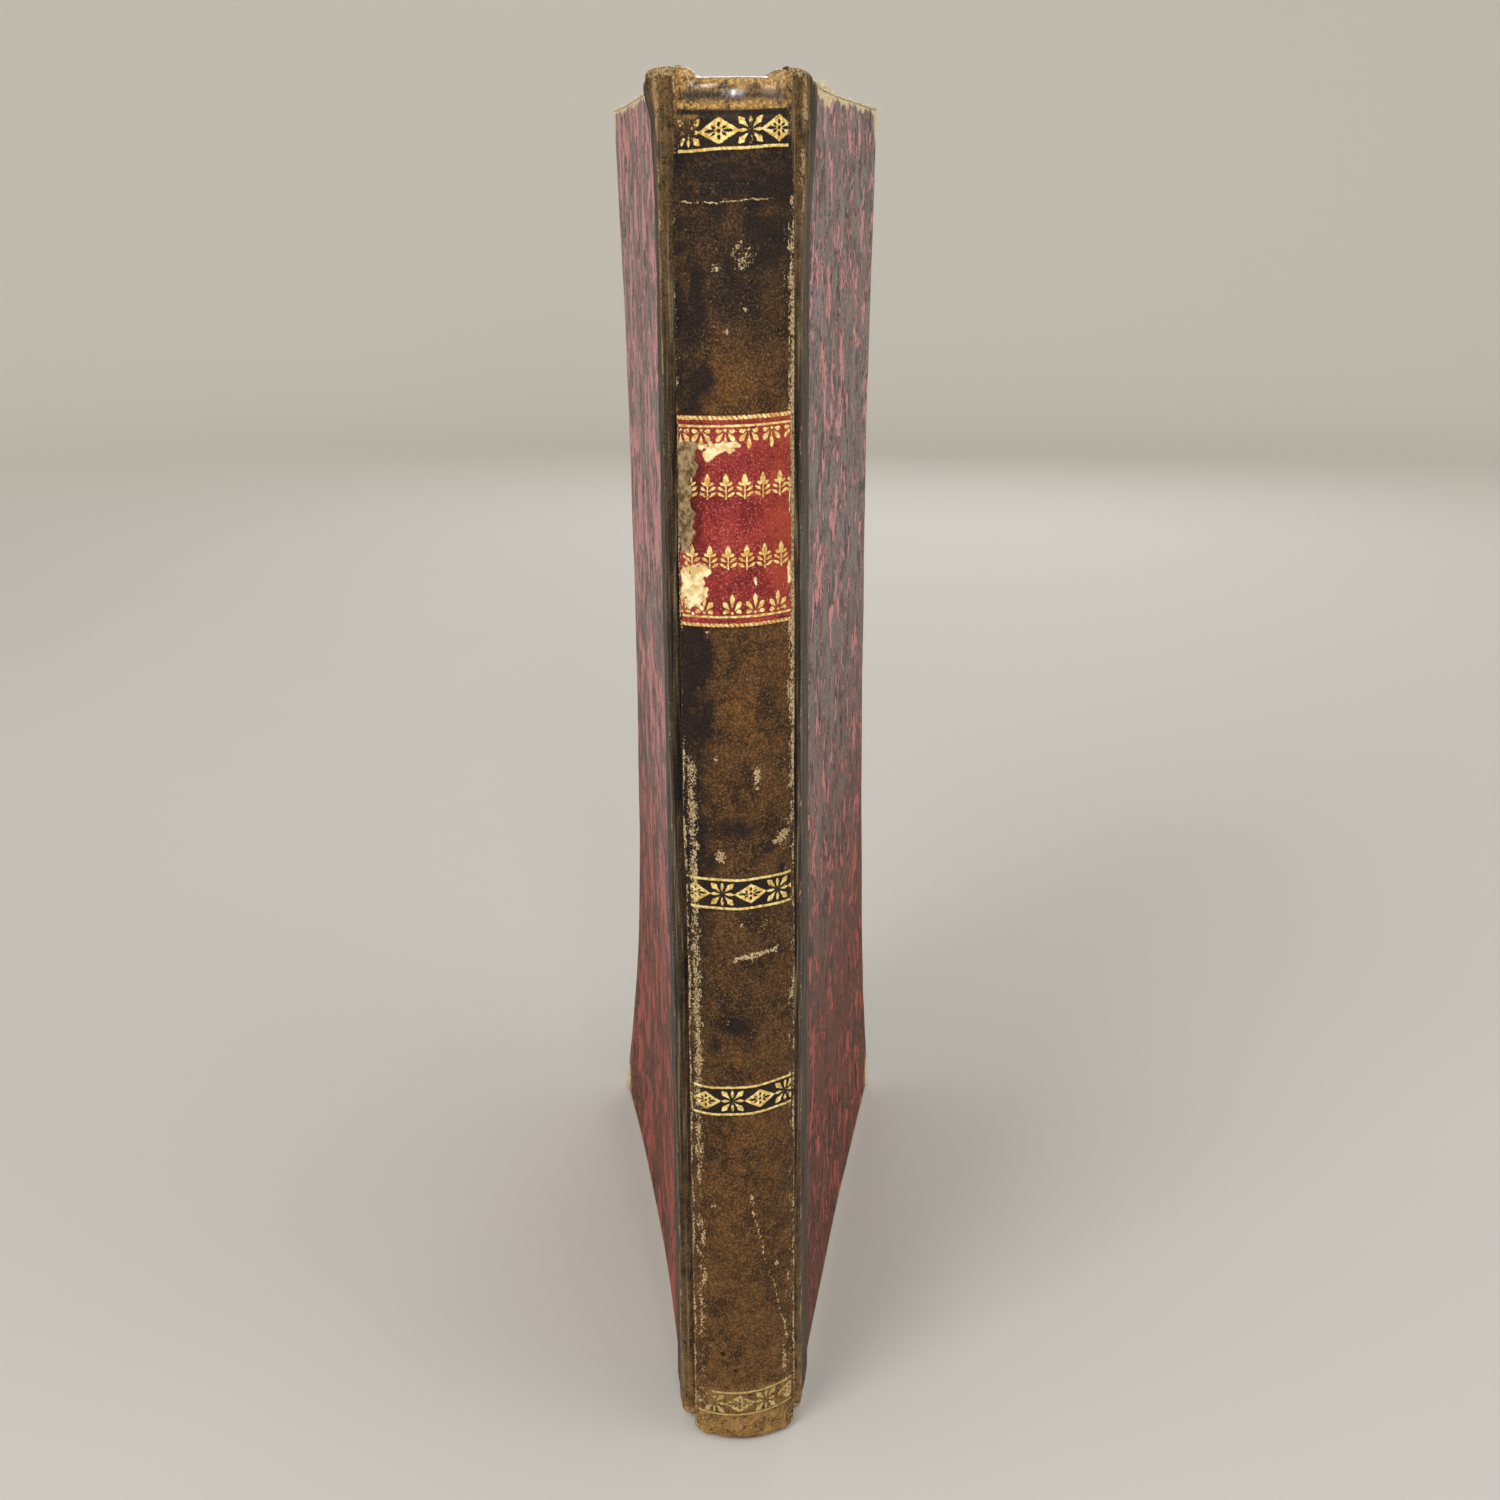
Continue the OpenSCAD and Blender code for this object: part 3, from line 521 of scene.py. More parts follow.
def field(tree, title):
    """A number that the mesh stores for each point."""
    return node(tree, "Attribute", {"attribute_type": "GEOMETRY", "attribute_name": title}).outputs["Fac"]


def leather_at(tree, place):
    """The leather group's outputs at a place, fed with the wear that the mesh stores."""
    stored = {name: field(tree, name.lower()) for name in LEATHER_FIELDS}
    return placed(tree, grained_leather, Place=place, **stored)


leather_finish, tree = new_material("brown calf")
hide = leather_at(tree, place_mm(tree))
finish_surface(tree, hide["Colour"], hide["Roughness"], hide["Height"], 0.22, Specular_IOR_Level=0.1,
               Coat_Weight=hide["Coat"], Coat_Roughness=0.22, Coat_IOR=1.6)

# its outline across the spine: the panel's arc, the rubbed ridge and the wall down into the joint's groove
PANEL_A = np.radians(45.6)
PANEL_POINTS = 60
RIDGE_AT = np.array([7.39, 3.63])
RIDGE_R = 0.41
RIDGE_TURN = np.radians(np.linspace(-64, 12.4, 9))
GROOVE = np.array([6.7, 7.7])
WALL_FACES = np.array([0.9765, 0.2157])
sweep = np.linspace(0, PANEL_A, PANEL_POINTS)[:, None]
down = np.linspace(0.12, 1, 12)[:, None]
half = np.concatenate([np.hstack([SPINE_R * np.sin(sweep), SPINE_R - SPINE_R * np.cos(sweep)]),
                       RIDGE_AT + RIDGE_R * np.stack([np.cos(RIDGE_TURN), np.sin(RIDGE_TURN)], 1),
                       RIDGE_AT + down * (GROOVE - RIDGE_AT) + (1 - down) * RIDGE_R * WALL_FACES])
run = np.concatenate([[0], np.cumsum(np.linalg.norm(np.diff(half, axis=0), axis=1))])
RIDGE_S = float(run[PANEL_POINTS + RIDGE_TURN.size // 2])
GROOVE_S = float(run[-1])


def by_height(height, *stops):
    """Straight lines between stops, pairs of height and value."""
    stops = sorted(stops)
    return np.interp(height, [s[0] for s in stops], [s[1] for s in stops])


def across_spine(s, z=100.0):
    """Point and outward normal of the spine's outline at a signed distance s round from its middle. The
    right ridge is fuller than the left, and both are fuller at the label and at the foot."""
    side = np.where(s < 0, -1.0, 1.0)
    ahead = np.clip(np.abs(s) + 0.02, 0, GROOVE_S)
    behind = np.clip(np.abs(s) - 0.02, 0, GROOVE_S)
    x, y = (np.interp(np.abs(s), run, half[:, k]) for k in (0, 1))
    dx, dy = (np.interp(ahead, run, half[:, k]) - np.interp(behind, run, half[:, k]) for k in (0, 1))
    length = np.hypot(dx, dy)
    fuller = np.where(s < 0,
                      by_height(z, (0, 0.1), (12, 0.0), (92, 0.0), (101, 0.3), (190, 0.3), (197, 0.0)),
                      by_height(z, (0, 0.1), (9, 0.3), (190, 0.3), (197, 0.0)))
    x = x + fuller * smooth(np.abs(s), 4.5, RIDGE_S) * smooth(np.abs(s), GROOVE_S, RIDGE_S + 0.4)
    return side * x, y, side * dy / length, -dx / length


s_half = np.concatenate([np.arange(0.25, 7.9, 0.25), np.arange(7.9, 9.3, 0.12),
                         np.linspace(9.35, GROOVE_S, 9)])
s_columns = np.concatenate([-s_half[::-1], [0], s_half])
reach = np.abs(s_columns)

# the profile from the tail cap's lip up the panel to the head cap's lip, as depth inwards and height;
# beside the panel the caps narrow, rise into ears at the head and are worn round at the tail
CAP_R = 1.6
LID_REACH = 2.9
on_left = s_columns < 0
ear = np.where(on_left, smooth(reach, 5.5, 6.9), smooth(reach, 5.1, 6.9))
head_top = 204.8 + np.where(on_left, 1.15, 0.95) * ear
tail_foot = 0.1 + 1.7 * (1 - np.sqrt(1 - np.clip((reach - 4.0) / 5.8, 0, 0.95) ** 2))
bend_r = CAP_R + (0.6 - CAP_R) * ear
lid = LID_REACH + (0.95 - LID_REACH) * ear - 0.12 * smooth(reach, 9.5, GROOVE_S)
bulge = CAP_BULGE * (1 - ear)
WORM_HOLES = ((-3.6, 15.8), (-1.5, 12.9))
WORM_R = 0.36
HIDE_T, EAR_T = 0.62, 0.4
STRAIGHT_Z = (5.3, 200.0)
worm_rows = np.arange(11.6, 17.2, 0.14)
crease_rows = np.arange(188.2, 190.9, 0.11)
panel_rows = np.concatenate([np.arange(5.6, 11.6, 0.45), worm_rows, np.arange(17.3, 188.1, 0.58), crease_rows,
                             np.arange(191.2, 200.0, 0.45)])
quarter = np.linspace(0, np.pi / 2, 8)[1:]
turn_rows = quarter[:, None]
tail_rise = np.linspace(0, 1, 9)[:-1, None]
head_rise = np.linspace(0, 1, 11)[1:, None]
low = (tail_foot + bend_r)[None, :]
high = (head_top - bend_r)[None, :]
rows_z = np.concatenate([
    np.repeat(tail_foot[None, :], 4, 0), low - bend_r * np.sin(turn_rows[::-1]),
    low + (STRAIGHT_Z[0] - low) * tail_rise, np.repeat(panel_rows[:, None], reach.size, 1),
    STRAIGHT_Z[1] + (high - STRAIGHT_Z[1]) * head_rise, high + bend_r * np.sin(turn_rows),
    np.repeat(head_top[None, :], 4, 0)])
lid_steps = np.linspace(0, 1, 5)[1:, None]
lid_depth = bend_r + (lid - bend_r) * lid_steps
rows_d = np.concatenate([
    lid_depth[::-1], bend_r * (1 - np.cos(turn_rows[::-1])), 0 * low + 0 * tail_rise,
    np.zeros((panel_rows.size, reach.size)), -bulge * smooth(head_rise, 0.15, 0.8),
    bend_r * (1 - np.cos(turn_rows)) - bulge, lid_depth - bulge * (1 - lid_steps)])
rows_z[-1] -= 0.12
rows_z[0] += 0.12

# towards head and tail the leather is drawn tight over the caps' cords, and that fills the groove
FILL_SHIFT = (1.5, -1.1)


def groove_fill(z):
    """How far the groove is filled at a height: 0 along the panel, 1 at the head and the tail."""
    return 0.4 * np.maximum(smooth(z, 192.5, 201.5), smooth(z, 13.0, 4.5))


def crease_height(s):
    """Height of the pale crease under the head band, which wavers as it crosses the spine."""
    return 189.4 + 0.03 * s + 0.12 * np.sin(0.55 * s) + ripple(73, s, (3.1, 0.07), (1.3, 0.05))


# dents, the crease under the head band, tie line under the cap, folds in the ears and two worm holes
S = np.broadcast_to(s_columns, rows_z.shape)
on_face = smooth(rows_d, 0.5, 0.1)
dent = ripple(3, rows_z + 3 * S, (41, 0.03), (17, 0.02))
dent = dent + ripple(4, rows_z * 0.4 - 5 * S, (23, 0.02), (9.5, 0.012))
crease = 0.07 * np.exp(-((rows_z - crease_height(S)) / 0.2) ** 2) * smooth(reach, 8.3, 7)
tie = -0.2 * np.exp(-((rows_z - 200.42) / 0.16) ** 2) * (1 - 0.6 * ear)
folds = 0.06 * np.sin(2.6 * reach + 0.25 * rows_z) * smooth(rows_z, 192, 201) * smooth(reach, 7.2, 8.6)
folds = folds + 0.08 * smooth(rows_z, 198, 204.5) * smooth(reach, 7.4, 8.6)
sag = -0.1 * np.exp(-((rows_z - 2.5) / 1.6) ** 2) * np.sin(1.1 * S + 0.6) ** 2
holes = sum(np.exp(-(((S - x) ** 2 + (rows_z - z) ** 2) / WORM_R ** 2) ** 2) for x, z in WORM_HOLES)
swell = (-0.03 + np.clip(dent, -0.06, 0.03) + crease + tie + folds + sag - 0.6 * holes) * on_face
closing = groove_fill(rows_z) * smooth(reach, RIDGE_S - 0.2, GROOVE_S)

x, y, nx, ny = across_spine(S, rows_z)


def on_outline(depth, height):
    """Points of the spine at depths inwards of its outline."""
    return np.stack([x - nx * depth, y - ny * depth, height], -1)


spine_outer = on_outline(rows_d - swell, rows_z)
spine_outer[..., 0] += closing * FILL_SHIFT[0] * np.where(on_left, -1, 1)
spine_outer[..., 1] += closing * FILL_SHIFT[1]
hide_t = HIDE_T + (EAR_T - HIDE_T) * ear - 0.1 * smooth(reach, 9.5, GROOVE_S)
spine_inner = spine_outer - facing(on_outline(rows_d, rows_z), -1.0) * hide_t[None, :, None]


def patches(marks, across_by, height):
    """Strongest of a list of soft oval marks: middle across, middle height, half sizes, lean, strength."""
    total = np.zeros(np.broadcast(across_by, height).shape)
    for mid_x, mid_z, half_x, half_z, lean, strength in marks:
        along = (across_by - mid_x) - np.tan(np.radians(lean)) * (height - mid_z)
        spread = (along / half_x) ** 2 + ((height - mid_z) / half_z) ** 2
        total = np.maximum(total, strength * np.exp(-spread))
    return total


SCUFFS = (
    (1.2, 182.2, 1.5, 1.9, 20, 0.74), (0.2, 183.6, 0.5, 1.2, 30, 0.8), (-2.6, 180.9, 0.9, 0.6, 0, 0.85),
    (1.15, 175.5, 0.45, 0.6, 0, 0.85),
    (-1.3, 172.9, 0.5, 0.5, 0, 0.85), (-2.9, 173.3, 0.35, 0.4, 0, 0.6), (2.4, 110.3, 0.55, 1.9, 0, 0.95),
    (-3.0, 98.6, 0.9, 1.1, -20, 0.95), (-3.5, 113.2, 0.45, 1.0, 15, 0.75), (6.6, 101.0, 1.4, 1.5, 30, 0.8),
    (5.2, 100.2, 0.9, 0.4, 0, 0.9), (-1.0, 82.6, 0.45, 0.5, 0, 1.0), (5.5, 83.8, 0.6, 0.5, 0, 1.0),
    (0.0, 88.0, 0.3, 0.8, 0, 0.8), (3.2, 87.5, 1.3, 1.3, 0, 0.5),
    (-2.1, 72.7, 0.4, 0.4, 0, 0.95), (1.1, 43.2, 0.4, 0.8, 0, 0.9), (5.3, 31.2, 0.5, 0.6, 0, 1.0),
    (-6.5, 29.0, 0.6, 2.0, 8, 0.95), (-6.7, 36.0, 0.6, 2.2, 0, 0.75), (-7.2, 54.0, 0.45, 2.4, 6, 0.95),
    (-4.4, 41.8, 1.6, 0.5, 60, 0.65), (-7.4, 47.0, 0.4, 3.0, 0, 0.8), (6.6, 14.5, 0.4, 3.0, 0, 0.85),
    (-4.6, 131.5, 0.4, 0.9, 0, 0.7), (4.8, 55.2, 0.5, 0.3, 0, 0.6), (-2.0, 50.0, 0.4, 0.4, 0, 0.7))
INKED = (
    (-5.4, 177.5, 2.6, 7.5, 0, 0.78), (-4.8, 166.5, 2.4, 3.6, 0, 0.75), (-5.4, 127.5, 2.4, 5.0, 0, 0.75),
    (-4.8, 119.5, 2.0, 5.0, 0, 0.7), (-0.4, 103.0, 4.4, 2.6, 0, 0.72), (-4.8, 97.5, 2.6, 3.0, 0, 0.6),
    (-4.6, 107.0, 2.0, 4.0, 0, 0.55), (-4.8, 88.0, 1.8, 3.0, 0, 0.6), (-4.4, 69.0, 2.2, 3.4, 0, 0.6),
    (-0.4, 72.0, 4.0, 2.6, 0, 0.72), (3.0, 193.0, 5.0, 3.0, 0, 0.35), (-3.0, 191.0, 5.0, 3.0, 0, 0.35),
    (6.4, 96.0, 1.2, 3.0, 0, 0.55), (2.6, 27.0, 1.6, 3.0, 0, 0.35), (-6.0, 79.0, 1.4, 6.0, 0, 0.5),
    (5.8, 84.0, 1.0, 2.5, 0, 0.5), (0.0, 186.5, 6.0, 2.0, 0, 0.3), (-7.6, 197.0, 0.8, 2.0, 0, 0.4))
WARMED = (
    (-0.3, 165.5, 5.0, 4.0, 0, 0.85), (-1.2, 170.5, 2.6, 2.6, 0, 0.6), (0.0, 120.5, 4.6, 6.5, 0, 0.9),
    (1.5, 132.0, 5.0, 3.0, 0, 0.35), (-1.5, 27.0, 3.0, 8.0, 0, 0.35), (0.0, 106.5, 3.5, 2.0, 0, 0.5),
    (-1.6, 66.5, 3.0, 3.0, 0, 0.6), (3.0, 62.5, 3.0, 2.0, 0, 0.4), (-1.3, 55.0, 3.0, 3.0, 0, 0.45))
GILT_BANDS = (7.2, 59.85, 92.85, 198.2)
GILT_TILTS = (0.07, 0.06, 0.02, 0.05)


def hide_fields(s, z):
    """The leather's wear, warmth, ink, ochre and dust over the spine, as the old book carries them, and
    painted shade down the walls into the grooves.
    """
    wander = ripple(71, z + 40 * (s > 0), (19, 0.14), (7.3, 0.1), (3.1, 0.07), (1.3, 0.04))
    ridge = np.exp(-((np.abs(s) - RIDGE_S + 0.1 + wander) / 0.36) ** 2)
    ridge = np.maximum(ridge, 0.75 * np.exp(-((s - RIDGE_S + 1.05 - 0.6 * wander) / 0.16) ** 2))
    ridge = ridge * (1.06 + ripple(72, z + 90 * (s > 0), (11, 0.16), (4.3, 0.16), (1.7, 0.12)))
    right = by_height(z, (0, 0.75), (30, 0.6), (60, 0.62), (100, 0.55), (117, 0.85), (131, 1.0), (162, 1.0),
                      (186, 0.6), (189, 0.3), (206, 0.4))
    left = by_height(z, (0, 0.75), (30, 0.62), (60, 0.7), (110, 0.7), (117, 0.35), (131, 0.3), (134, 0.7),
                     (160, 0.7), (165, 0.4), (180, 0.35), (190, 0.3), (206, 0.45))
    worn = ridge * np.where(s > 0, right, left)
    band = np.exp(-((s + 7.2) / 1.1) ** 2) * by_height(
        z, (20, 0.5), (40, 0.4), (60, 0.62), (112, 0.66), (116, 0.0))
    line = np.exp(-((s - 7.0) / 0.3) ** 2) * by_height(
        z, (0, 0.6), (20, 0.45), (60, 0.2), (115, 0.3), (165, 0.35), (186, 0.3), (188, 0))
    course = np.interp(z, (17, 22, 28, 34, 39, 43), (7.1, 6.2, 4.6, 3.0, 1.8, 1.3))
    course = course + ripple(74, z, (9, 0.15), (3.7, 0.08))
    scratch = 0.92 * np.exp(-((s - course) / 0.15) ** 2) * (z < 43) * (z > 17)
    stroke = np.exp(-((z - 83.2 - 0.16 * (s - 2.2)) / 0.42) ** 2) * smooth(np.abs(s - 2.2), 3.4, 2.9)
    pale = 0.8 * np.exp(-((z - crease_height(s)) / 0.15) ** 2) * smooth(s, -8.0, -7.2) * smooth(s, 6.4, 3.4)
    fringe = np.exp(-((s - 8.35 - 0.9 * wander) / 0.6) ** 2) * by_height(
        z, (60, 0.3), (100, 0.5), (117, 0.85), (131, 1.0), (162, 1.0), (182, 0.85), (190, 0.5), (196, 0.3))
    fringe = fringe * (0.86 + ripple(75, z, (5.3, 0.16), (2.1, 0.16), (0.9, 0.12)))
    worn = np.maximum.reduce([worn, band, line, fringe, patches(SCUFFS, s, z), scratch, stroke, pale])
    worn = np.maximum(worn, 0.55 * smooth(np.abs(s), 8.2, 8.9) * smooth(z, 199, 204.5))
    ground = sum(smooth(np.abs(z - mid - tilt * s), 2.6, 2.3)
                 for mid, tilt in zip(GILT_BANDS[1:], GILT_TILTS[1:]))
    ground = ground * smooth(np.abs(s), 8.2, 7.6) * (1 - 0.75 * smooth(s, -3.6, -5.6) * (z > 190))
    # painted shade: the wall down into the joint's groove is darkened, less so near the head where the groove
    # fills
    wall = smooth(np.abs(s), RIDGE_S + 0.2, RIDGE_S + 0.9) * smooth(z, 203, 196)
    shady = by_height(z, (0, 0.05), (55, 0.05), (62, 0.26), (88, 0.28), (100, 0.2), (126, 0.1), (150, 0.1),
                      (164, 0.24), (176, 0.46), (190, 0.56), (196, 0.56), (200, 0.2))
    left_shade = 0.62 * smooth(s, -2.0, -6.5) * by_height(z, (60, 0), (75, 1), (196, 1), (200, 0))
    shady = np.maximum(shady, left_shade)
    inkandshade = np.maximum.reduce([patches(INKED, s, z), 0.95 * ground, 0.15 * wall, shady + 0 * s])
    inkandshade = np.maximum(inkandshade, 1.2 * np.exp(-((z - 200.42) / 0.22) ** 2) * smooth(np.abs(s), 8.6, 7.8))
    bored = sum(1.3 * np.exp(-((s - hx) ** 2 + (z - hz) ** 2) / 0.16) for hx, hz in WORM_HOLES)
    inkandshade = np.maximum(inkandshade, bored)
    warm = by_height(z, (8, 0.5), (20, 0.56), (54, 0.5), (58, 0.35), (75, 0.2), (104, 0.3), (125, 0.45),
                     (132, 0.5), (162, 0.55), (168, 0.15), (206, 0.1))
    warm = np.maximum(patches(WARMED, s, z), warm + 0 * s)
    glazed = np.maximum(smooth(z, 201.4, 202.2) * smooth(np.abs(s), 8.0, 6.5), by_height(
        z, (40, 0.0), (60, 0.08), (170, 0.1), (186, 0.16), (198, 0.16), (201, 0.2), (206, 0.2)))
    cap = smooth(z, 200.4, 200.9) * smooth(np.abs(s), 8.6, 7.4)
    ochre = cap * (1.25 * np.exp(-((z - 201.35) / 0.62) ** 2) + 0.95 * smooth(z, 202.6, 203.6))
    ochre = np.maximum(ochre, 0.5 * np.exp(-((z - 199.9) / 0.3) ** 2) * smooth(np.abs(s), 7.6, 6.5))
    inkandshade = np.maximum(inkandshade, 0.46 * cap * np.exp(-((z - 202.4) / 0.55) ** 2))
    ochre = np.maximum(ochre, 0.55 * smooth(z, 198, 203) * smooth(np.abs(s), 6.4, 8.0))
    creased = 0.55 * smooth(np.abs(s), RIDGE_S + 0.1, RIDGE_S + 0.8) * smooth(z, 5, 9)
    dusty = by_height(z, (0, 0.95), (4.6, 0.9), (5.6, 0.35), (9.2, 0.4), (11, 0.12), (22, 0.06), (60, 0.0))
    inkandshade = inkandshade * smooth(z, 4.5, 6.5)
    return {"worn": worn, "warm": warm, "inkandshade": inkandshade, "ochre": ochre, "dusty": dusty + 0 * s,
            "glazed": glazed + 0 * s, "creased": creased}


def on_both(fields):
    """Each field's numbers twice over: for the outer points of a skin and for its inner ones."""
    return {title: np.concatenate([values.ravel(), values.ravel()]) for title, values in fields.items()}


put("spine_hide", *skin(spine_outer, spine_inner), leather_finish, "book_block", "spine_leather",
    "calf_leather", **on_both(hide_fields(S, rows_z)))


# Joint leather: the same calf runs from each groove round the board's rounded edge, over its first
# centimetre and in over the board at head and tail. At the head it stands up in a small ear.
HINGE = np.array([7.95, 9.1])
KNUCKLE_R = 1.45
INNER_U = -1.3
THIN_T = 0.45
FOOT_R = 4.2
STRIP_END = 10.3
TURN_IN = 14.0
COVER_H = 205.0
COVER_W = 120.0
FLAT_W = 12.0
SLEEVE_Z = (6.0, 198.0)


def turned(point, angle):
    """A point turned about the hinge line by an angle."""
    return np.array([point[0] * np.cos(angle) - point[1] * np.sin(angle),
                     point[0] * np.sin(angle) + point[1] * np.cos(angle)])


def cover_place(side, opened, u, v, z):
    """Points of a cover in the book's mm: u outwards and v along the board, both from the hinge line."""
    angle = np.radians(opened)
    x = HINGE[0] + u * np.cos(angle) + v * np.sin(angle)
    y = HINGE[1] - u * np.sin(angle) + v * np.cos(angle)
    return np.stack([side * x, y, z + 0 * x], -1)


def warp(leans, v, z):
    """How far the warped board leans out, from its head and tail corners' leans."""
    share = 2 * z / COVER_H - 1
    at_height = np.where(share > 0, leans[0] * share ** 2, leans[1] * np.abs(share) ** 3.5)
    return at_height * (np.maximum(v - FLAT_W, 0) / (COVER_W - FLAT_W)) ** 2


def joint_leather(title, side, opened, wear):
    """Sleeve of leather on one cover: columns run from the groove round to its edge on the board, rows from
    the turned-in flap at the tail up the outside and over to the flap at the head."""
    angle = np.radians(opened)
    groove = turned(GROOVE - HINGE, angle)
    touch = np.arctan2(groove[1], groove[0]) + np.arccos(KNUCKLE_R / np.hypot(*groove))
    board_v = np.arange(0.4, STRIP_END + 0.01, 0.3)
    straight = np.linspace(0, 1, 5)[:-1]
    turn_share = np.linspace(1, 0, 18)

    def outline(groove_at, touch_at):
        """Outside of the strip from the groove, straight to the rounded edge, round it and over the board."""
        contact = KNUCKLE_R * np.cos(touch_at), KNUCKLE_R * np.sin(touch_at)
        run_in = [groove_at[k][..., None] + straight * (contact[k] - groove_at[k])[..., None] for k in (0, 1)]
        turn = touch_at[..., None] * turn_share
        flat_v = np.broadcast_to(board_v, (*turn.shape[:-1], board_v.size))
        flat_u = KNUCKLE_R - 0.1 * smooth(flat_v, 9.4, STRIP_END)
        return (np.concatenate([run_in[0], KNUCKLE_R * np.cos(turn), flat_u], -1),
                np.concatenate([run_in[1], KNUCKLE_R * np.sin(turn), flat_v], -1))

    round_a = touch * turn_share
    out_u, out_v = outline(groove, np.array(touch))
    run_n = straight.size
    far_u = np.concatenate([out_u[:run_n] - THIN_T * np.cos(touch), INNER_U * np.cos(round_a),
                            np.full(board_v.size, INNER_U)])
    far_v = np.concatenate([out_v[:run_n] - THIN_T * np.sin(touch), KNUCKLE_R * np.sin(round_a), board_v])
    top = COVER_H + wear["rise"] * smooth(out_v, wear["fall"], 0.6)
    ease = np.maximum(2.0 - out_v, 0)
    foot = 0.45 * (FOOT_R - np.sqrt(np.maximum(FOOT_R ** 2 - ease ** 2, 0.0)))
    depth = np.hypot(out_u - far_u, out_v - far_v)
    bend = np.minimum(0.75, 0.49 * depth)
    top = top - 0.4 * smooth(depth, 1.5, 0.5)
    rise = np.linspace(0, 1, 7)[1:]
    arc = np.linspace(0, np.pi / 2, 6)[1:, None]
    flat = np.linspace(0, 1, 5)[1:-1, None]
    flap = np.linspace(TURN_IN, 1.2, 12)[:, None]
    low, high = SLEEVE_Z
    body_z = np.arange(low, high, 0.75)[:, None]
    one = np.ones_like(out_u)[None, :]
    up = np.linspace(0, 1, 10)[1:-1, None]
    z_rows = np.concatenate([
        foot + flap * one, foot + bend * (1 - np.sin(arc)), foot + 0 * flat, foot + bend * (1 - np.cos(arc)),
        foot + bend + (low - foot - bend) * up, body_z * one, high + (top - bend - high) * up,
        top - bend * (1 - np.sin(arc)), top + 0 * flat, top - bend * (1 - np.cos(arc)),
        top - flap[::-1] * one])
    across = depth - 2 * bend
    d_rows = np.concatenate([
        depth + 0 * flap, depth - bend * (1 - np.cos(arc)), depth - bend - across * flat,
        bend * (1 - np.sin(arc)), 0 * up + 0 * one, 0 * body_z + 0 * one, 0 * up + 0 * one,
        bend * (1 - np.cos(arc)), bend + across * flat, depth - bend * (1 - np.sin(arc)), depth + 0 * flap])
    share = d_rows / np.maximum(depth, 1e-6)
    filled = groove_fill(z_rows[:, 0])
    shift = turned(FILL_SHIFT, angle)
    groove_z = [groove[k] + filled * shift[k] for k in (0, 1)]
    touch_z = np.arctan2(groove_z[1], groove_z[0]) + np.arccos(KNUCKLE_R / np.hypot(*groove_z))
    row_u, row_v = outline(groove_z, touch_z)
    u = row_u + (far_u - row_u) * share
    v = row_v + (far_v - row_v) * share
    outside = smooth(share, 0.6, 0.1)
    u = u + wear["flare"](z_rows) * smooth(v, -1.45, 2.5) * (1 - share)
    pull = np.clip(out_v / 2.0, -1, 1)
    wave = ripple(21 + side, z_rows + 6 * v, (33, 0.04), (14, 0.03), (7, 0.015)) * outside
    fold = 0.1 * np.sin(2.3 * out_v + 0.5 * z_rows) * smooth(z_rows, 193, 202) * outside
    u = u + (wave + fold) * np.clip(np.cos(np.clip(-pull, 0, 1) * np.pi / 2), 0.3, 1)
    points = cover_place(side, opened, u, v, z_rows)
    inner = points - facing(points, side) * 0.28
    bead = smooth(out_v, 1.6, 0.6) * smooth(out_v, -1.35, -0.7) * np.ones_like(z_rows)
    waver = ripple(81 + side, z_rows, (13, 0.2), (5.1, 0.14), (1.9, 0.08))
    patchy = 1.0 + ripple(83 + side, z_rows, (17, 0.2), (6.1, 0.2), (2.3, 0.15))
    worn = np.maximum(wear["bead"](z_rows) * patchy * np.exp(-((out_v - 0.1 + waver) / 0.7) ** 2),
                      wear["edge"](z_rows) * np.exp(-((out_v - 9.75 + 0.5 * waver) / 0.22) ** 2))
    rim = np.maximum(smooth(z_rows, top - 1.3, top - 0.2), smooth(z_rows, foot + 1.6, foot + 0.3))
    worn = np.maximum(worn, 0.8 * rim)
    # painted shade: the joint's side down in the groove is darkened, up to where the groove fills below the
    # head
    inkandshade = np.maximum(0.2 * smooth(out_v, -0.75, -1.15) * smooth(z_rows, 200, 194),
                       wear["dark"] * smooth(out_v, 0.9, 1.8) * (1 - 0.45 * smooth(out_v, 3, 5)))
    upper = smooth(z_rows, 105, 170) * smooth(z_rows, 205, 200)
    inkandshade = np.maximum(inkandshade, 0.42 * upper * smooth(out_v, -1.3, -0.8))
    ochre = 0.35 * smooth(z_rows, 195, 204) * bead
    dusty = smooth(out_v, 4, 1) * by_height(z_rows, (0, 0.8), (5, 0.55), (14, 0.4), (40, 0.15), (70, 0.0),
                                            (160, 0.0), (185, 0.35), (206, 0.4))
    creased = (0.35 + 0.65 * smooth(out_v, 4.5, 2.8)) * smooth(out_v, 9.6, 8.6)
    creased = creased * smooth(z_rows, 2, 6) * smooth(share, 0.9, 0.5)
    fields = {"worn": worn, "warm": 0.12 * bead, "inkandshade": inkandshade, "ochre": ochre, "dusty": dusty,
              "glazed": 0.1 * bead, "creased": creased}
    made = put(title, *skin(points, inner), leather_finish, None, f"{title.split('_')[0]}_side_leather",
               "calf_leather", **on_both(fields))
    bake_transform(made)


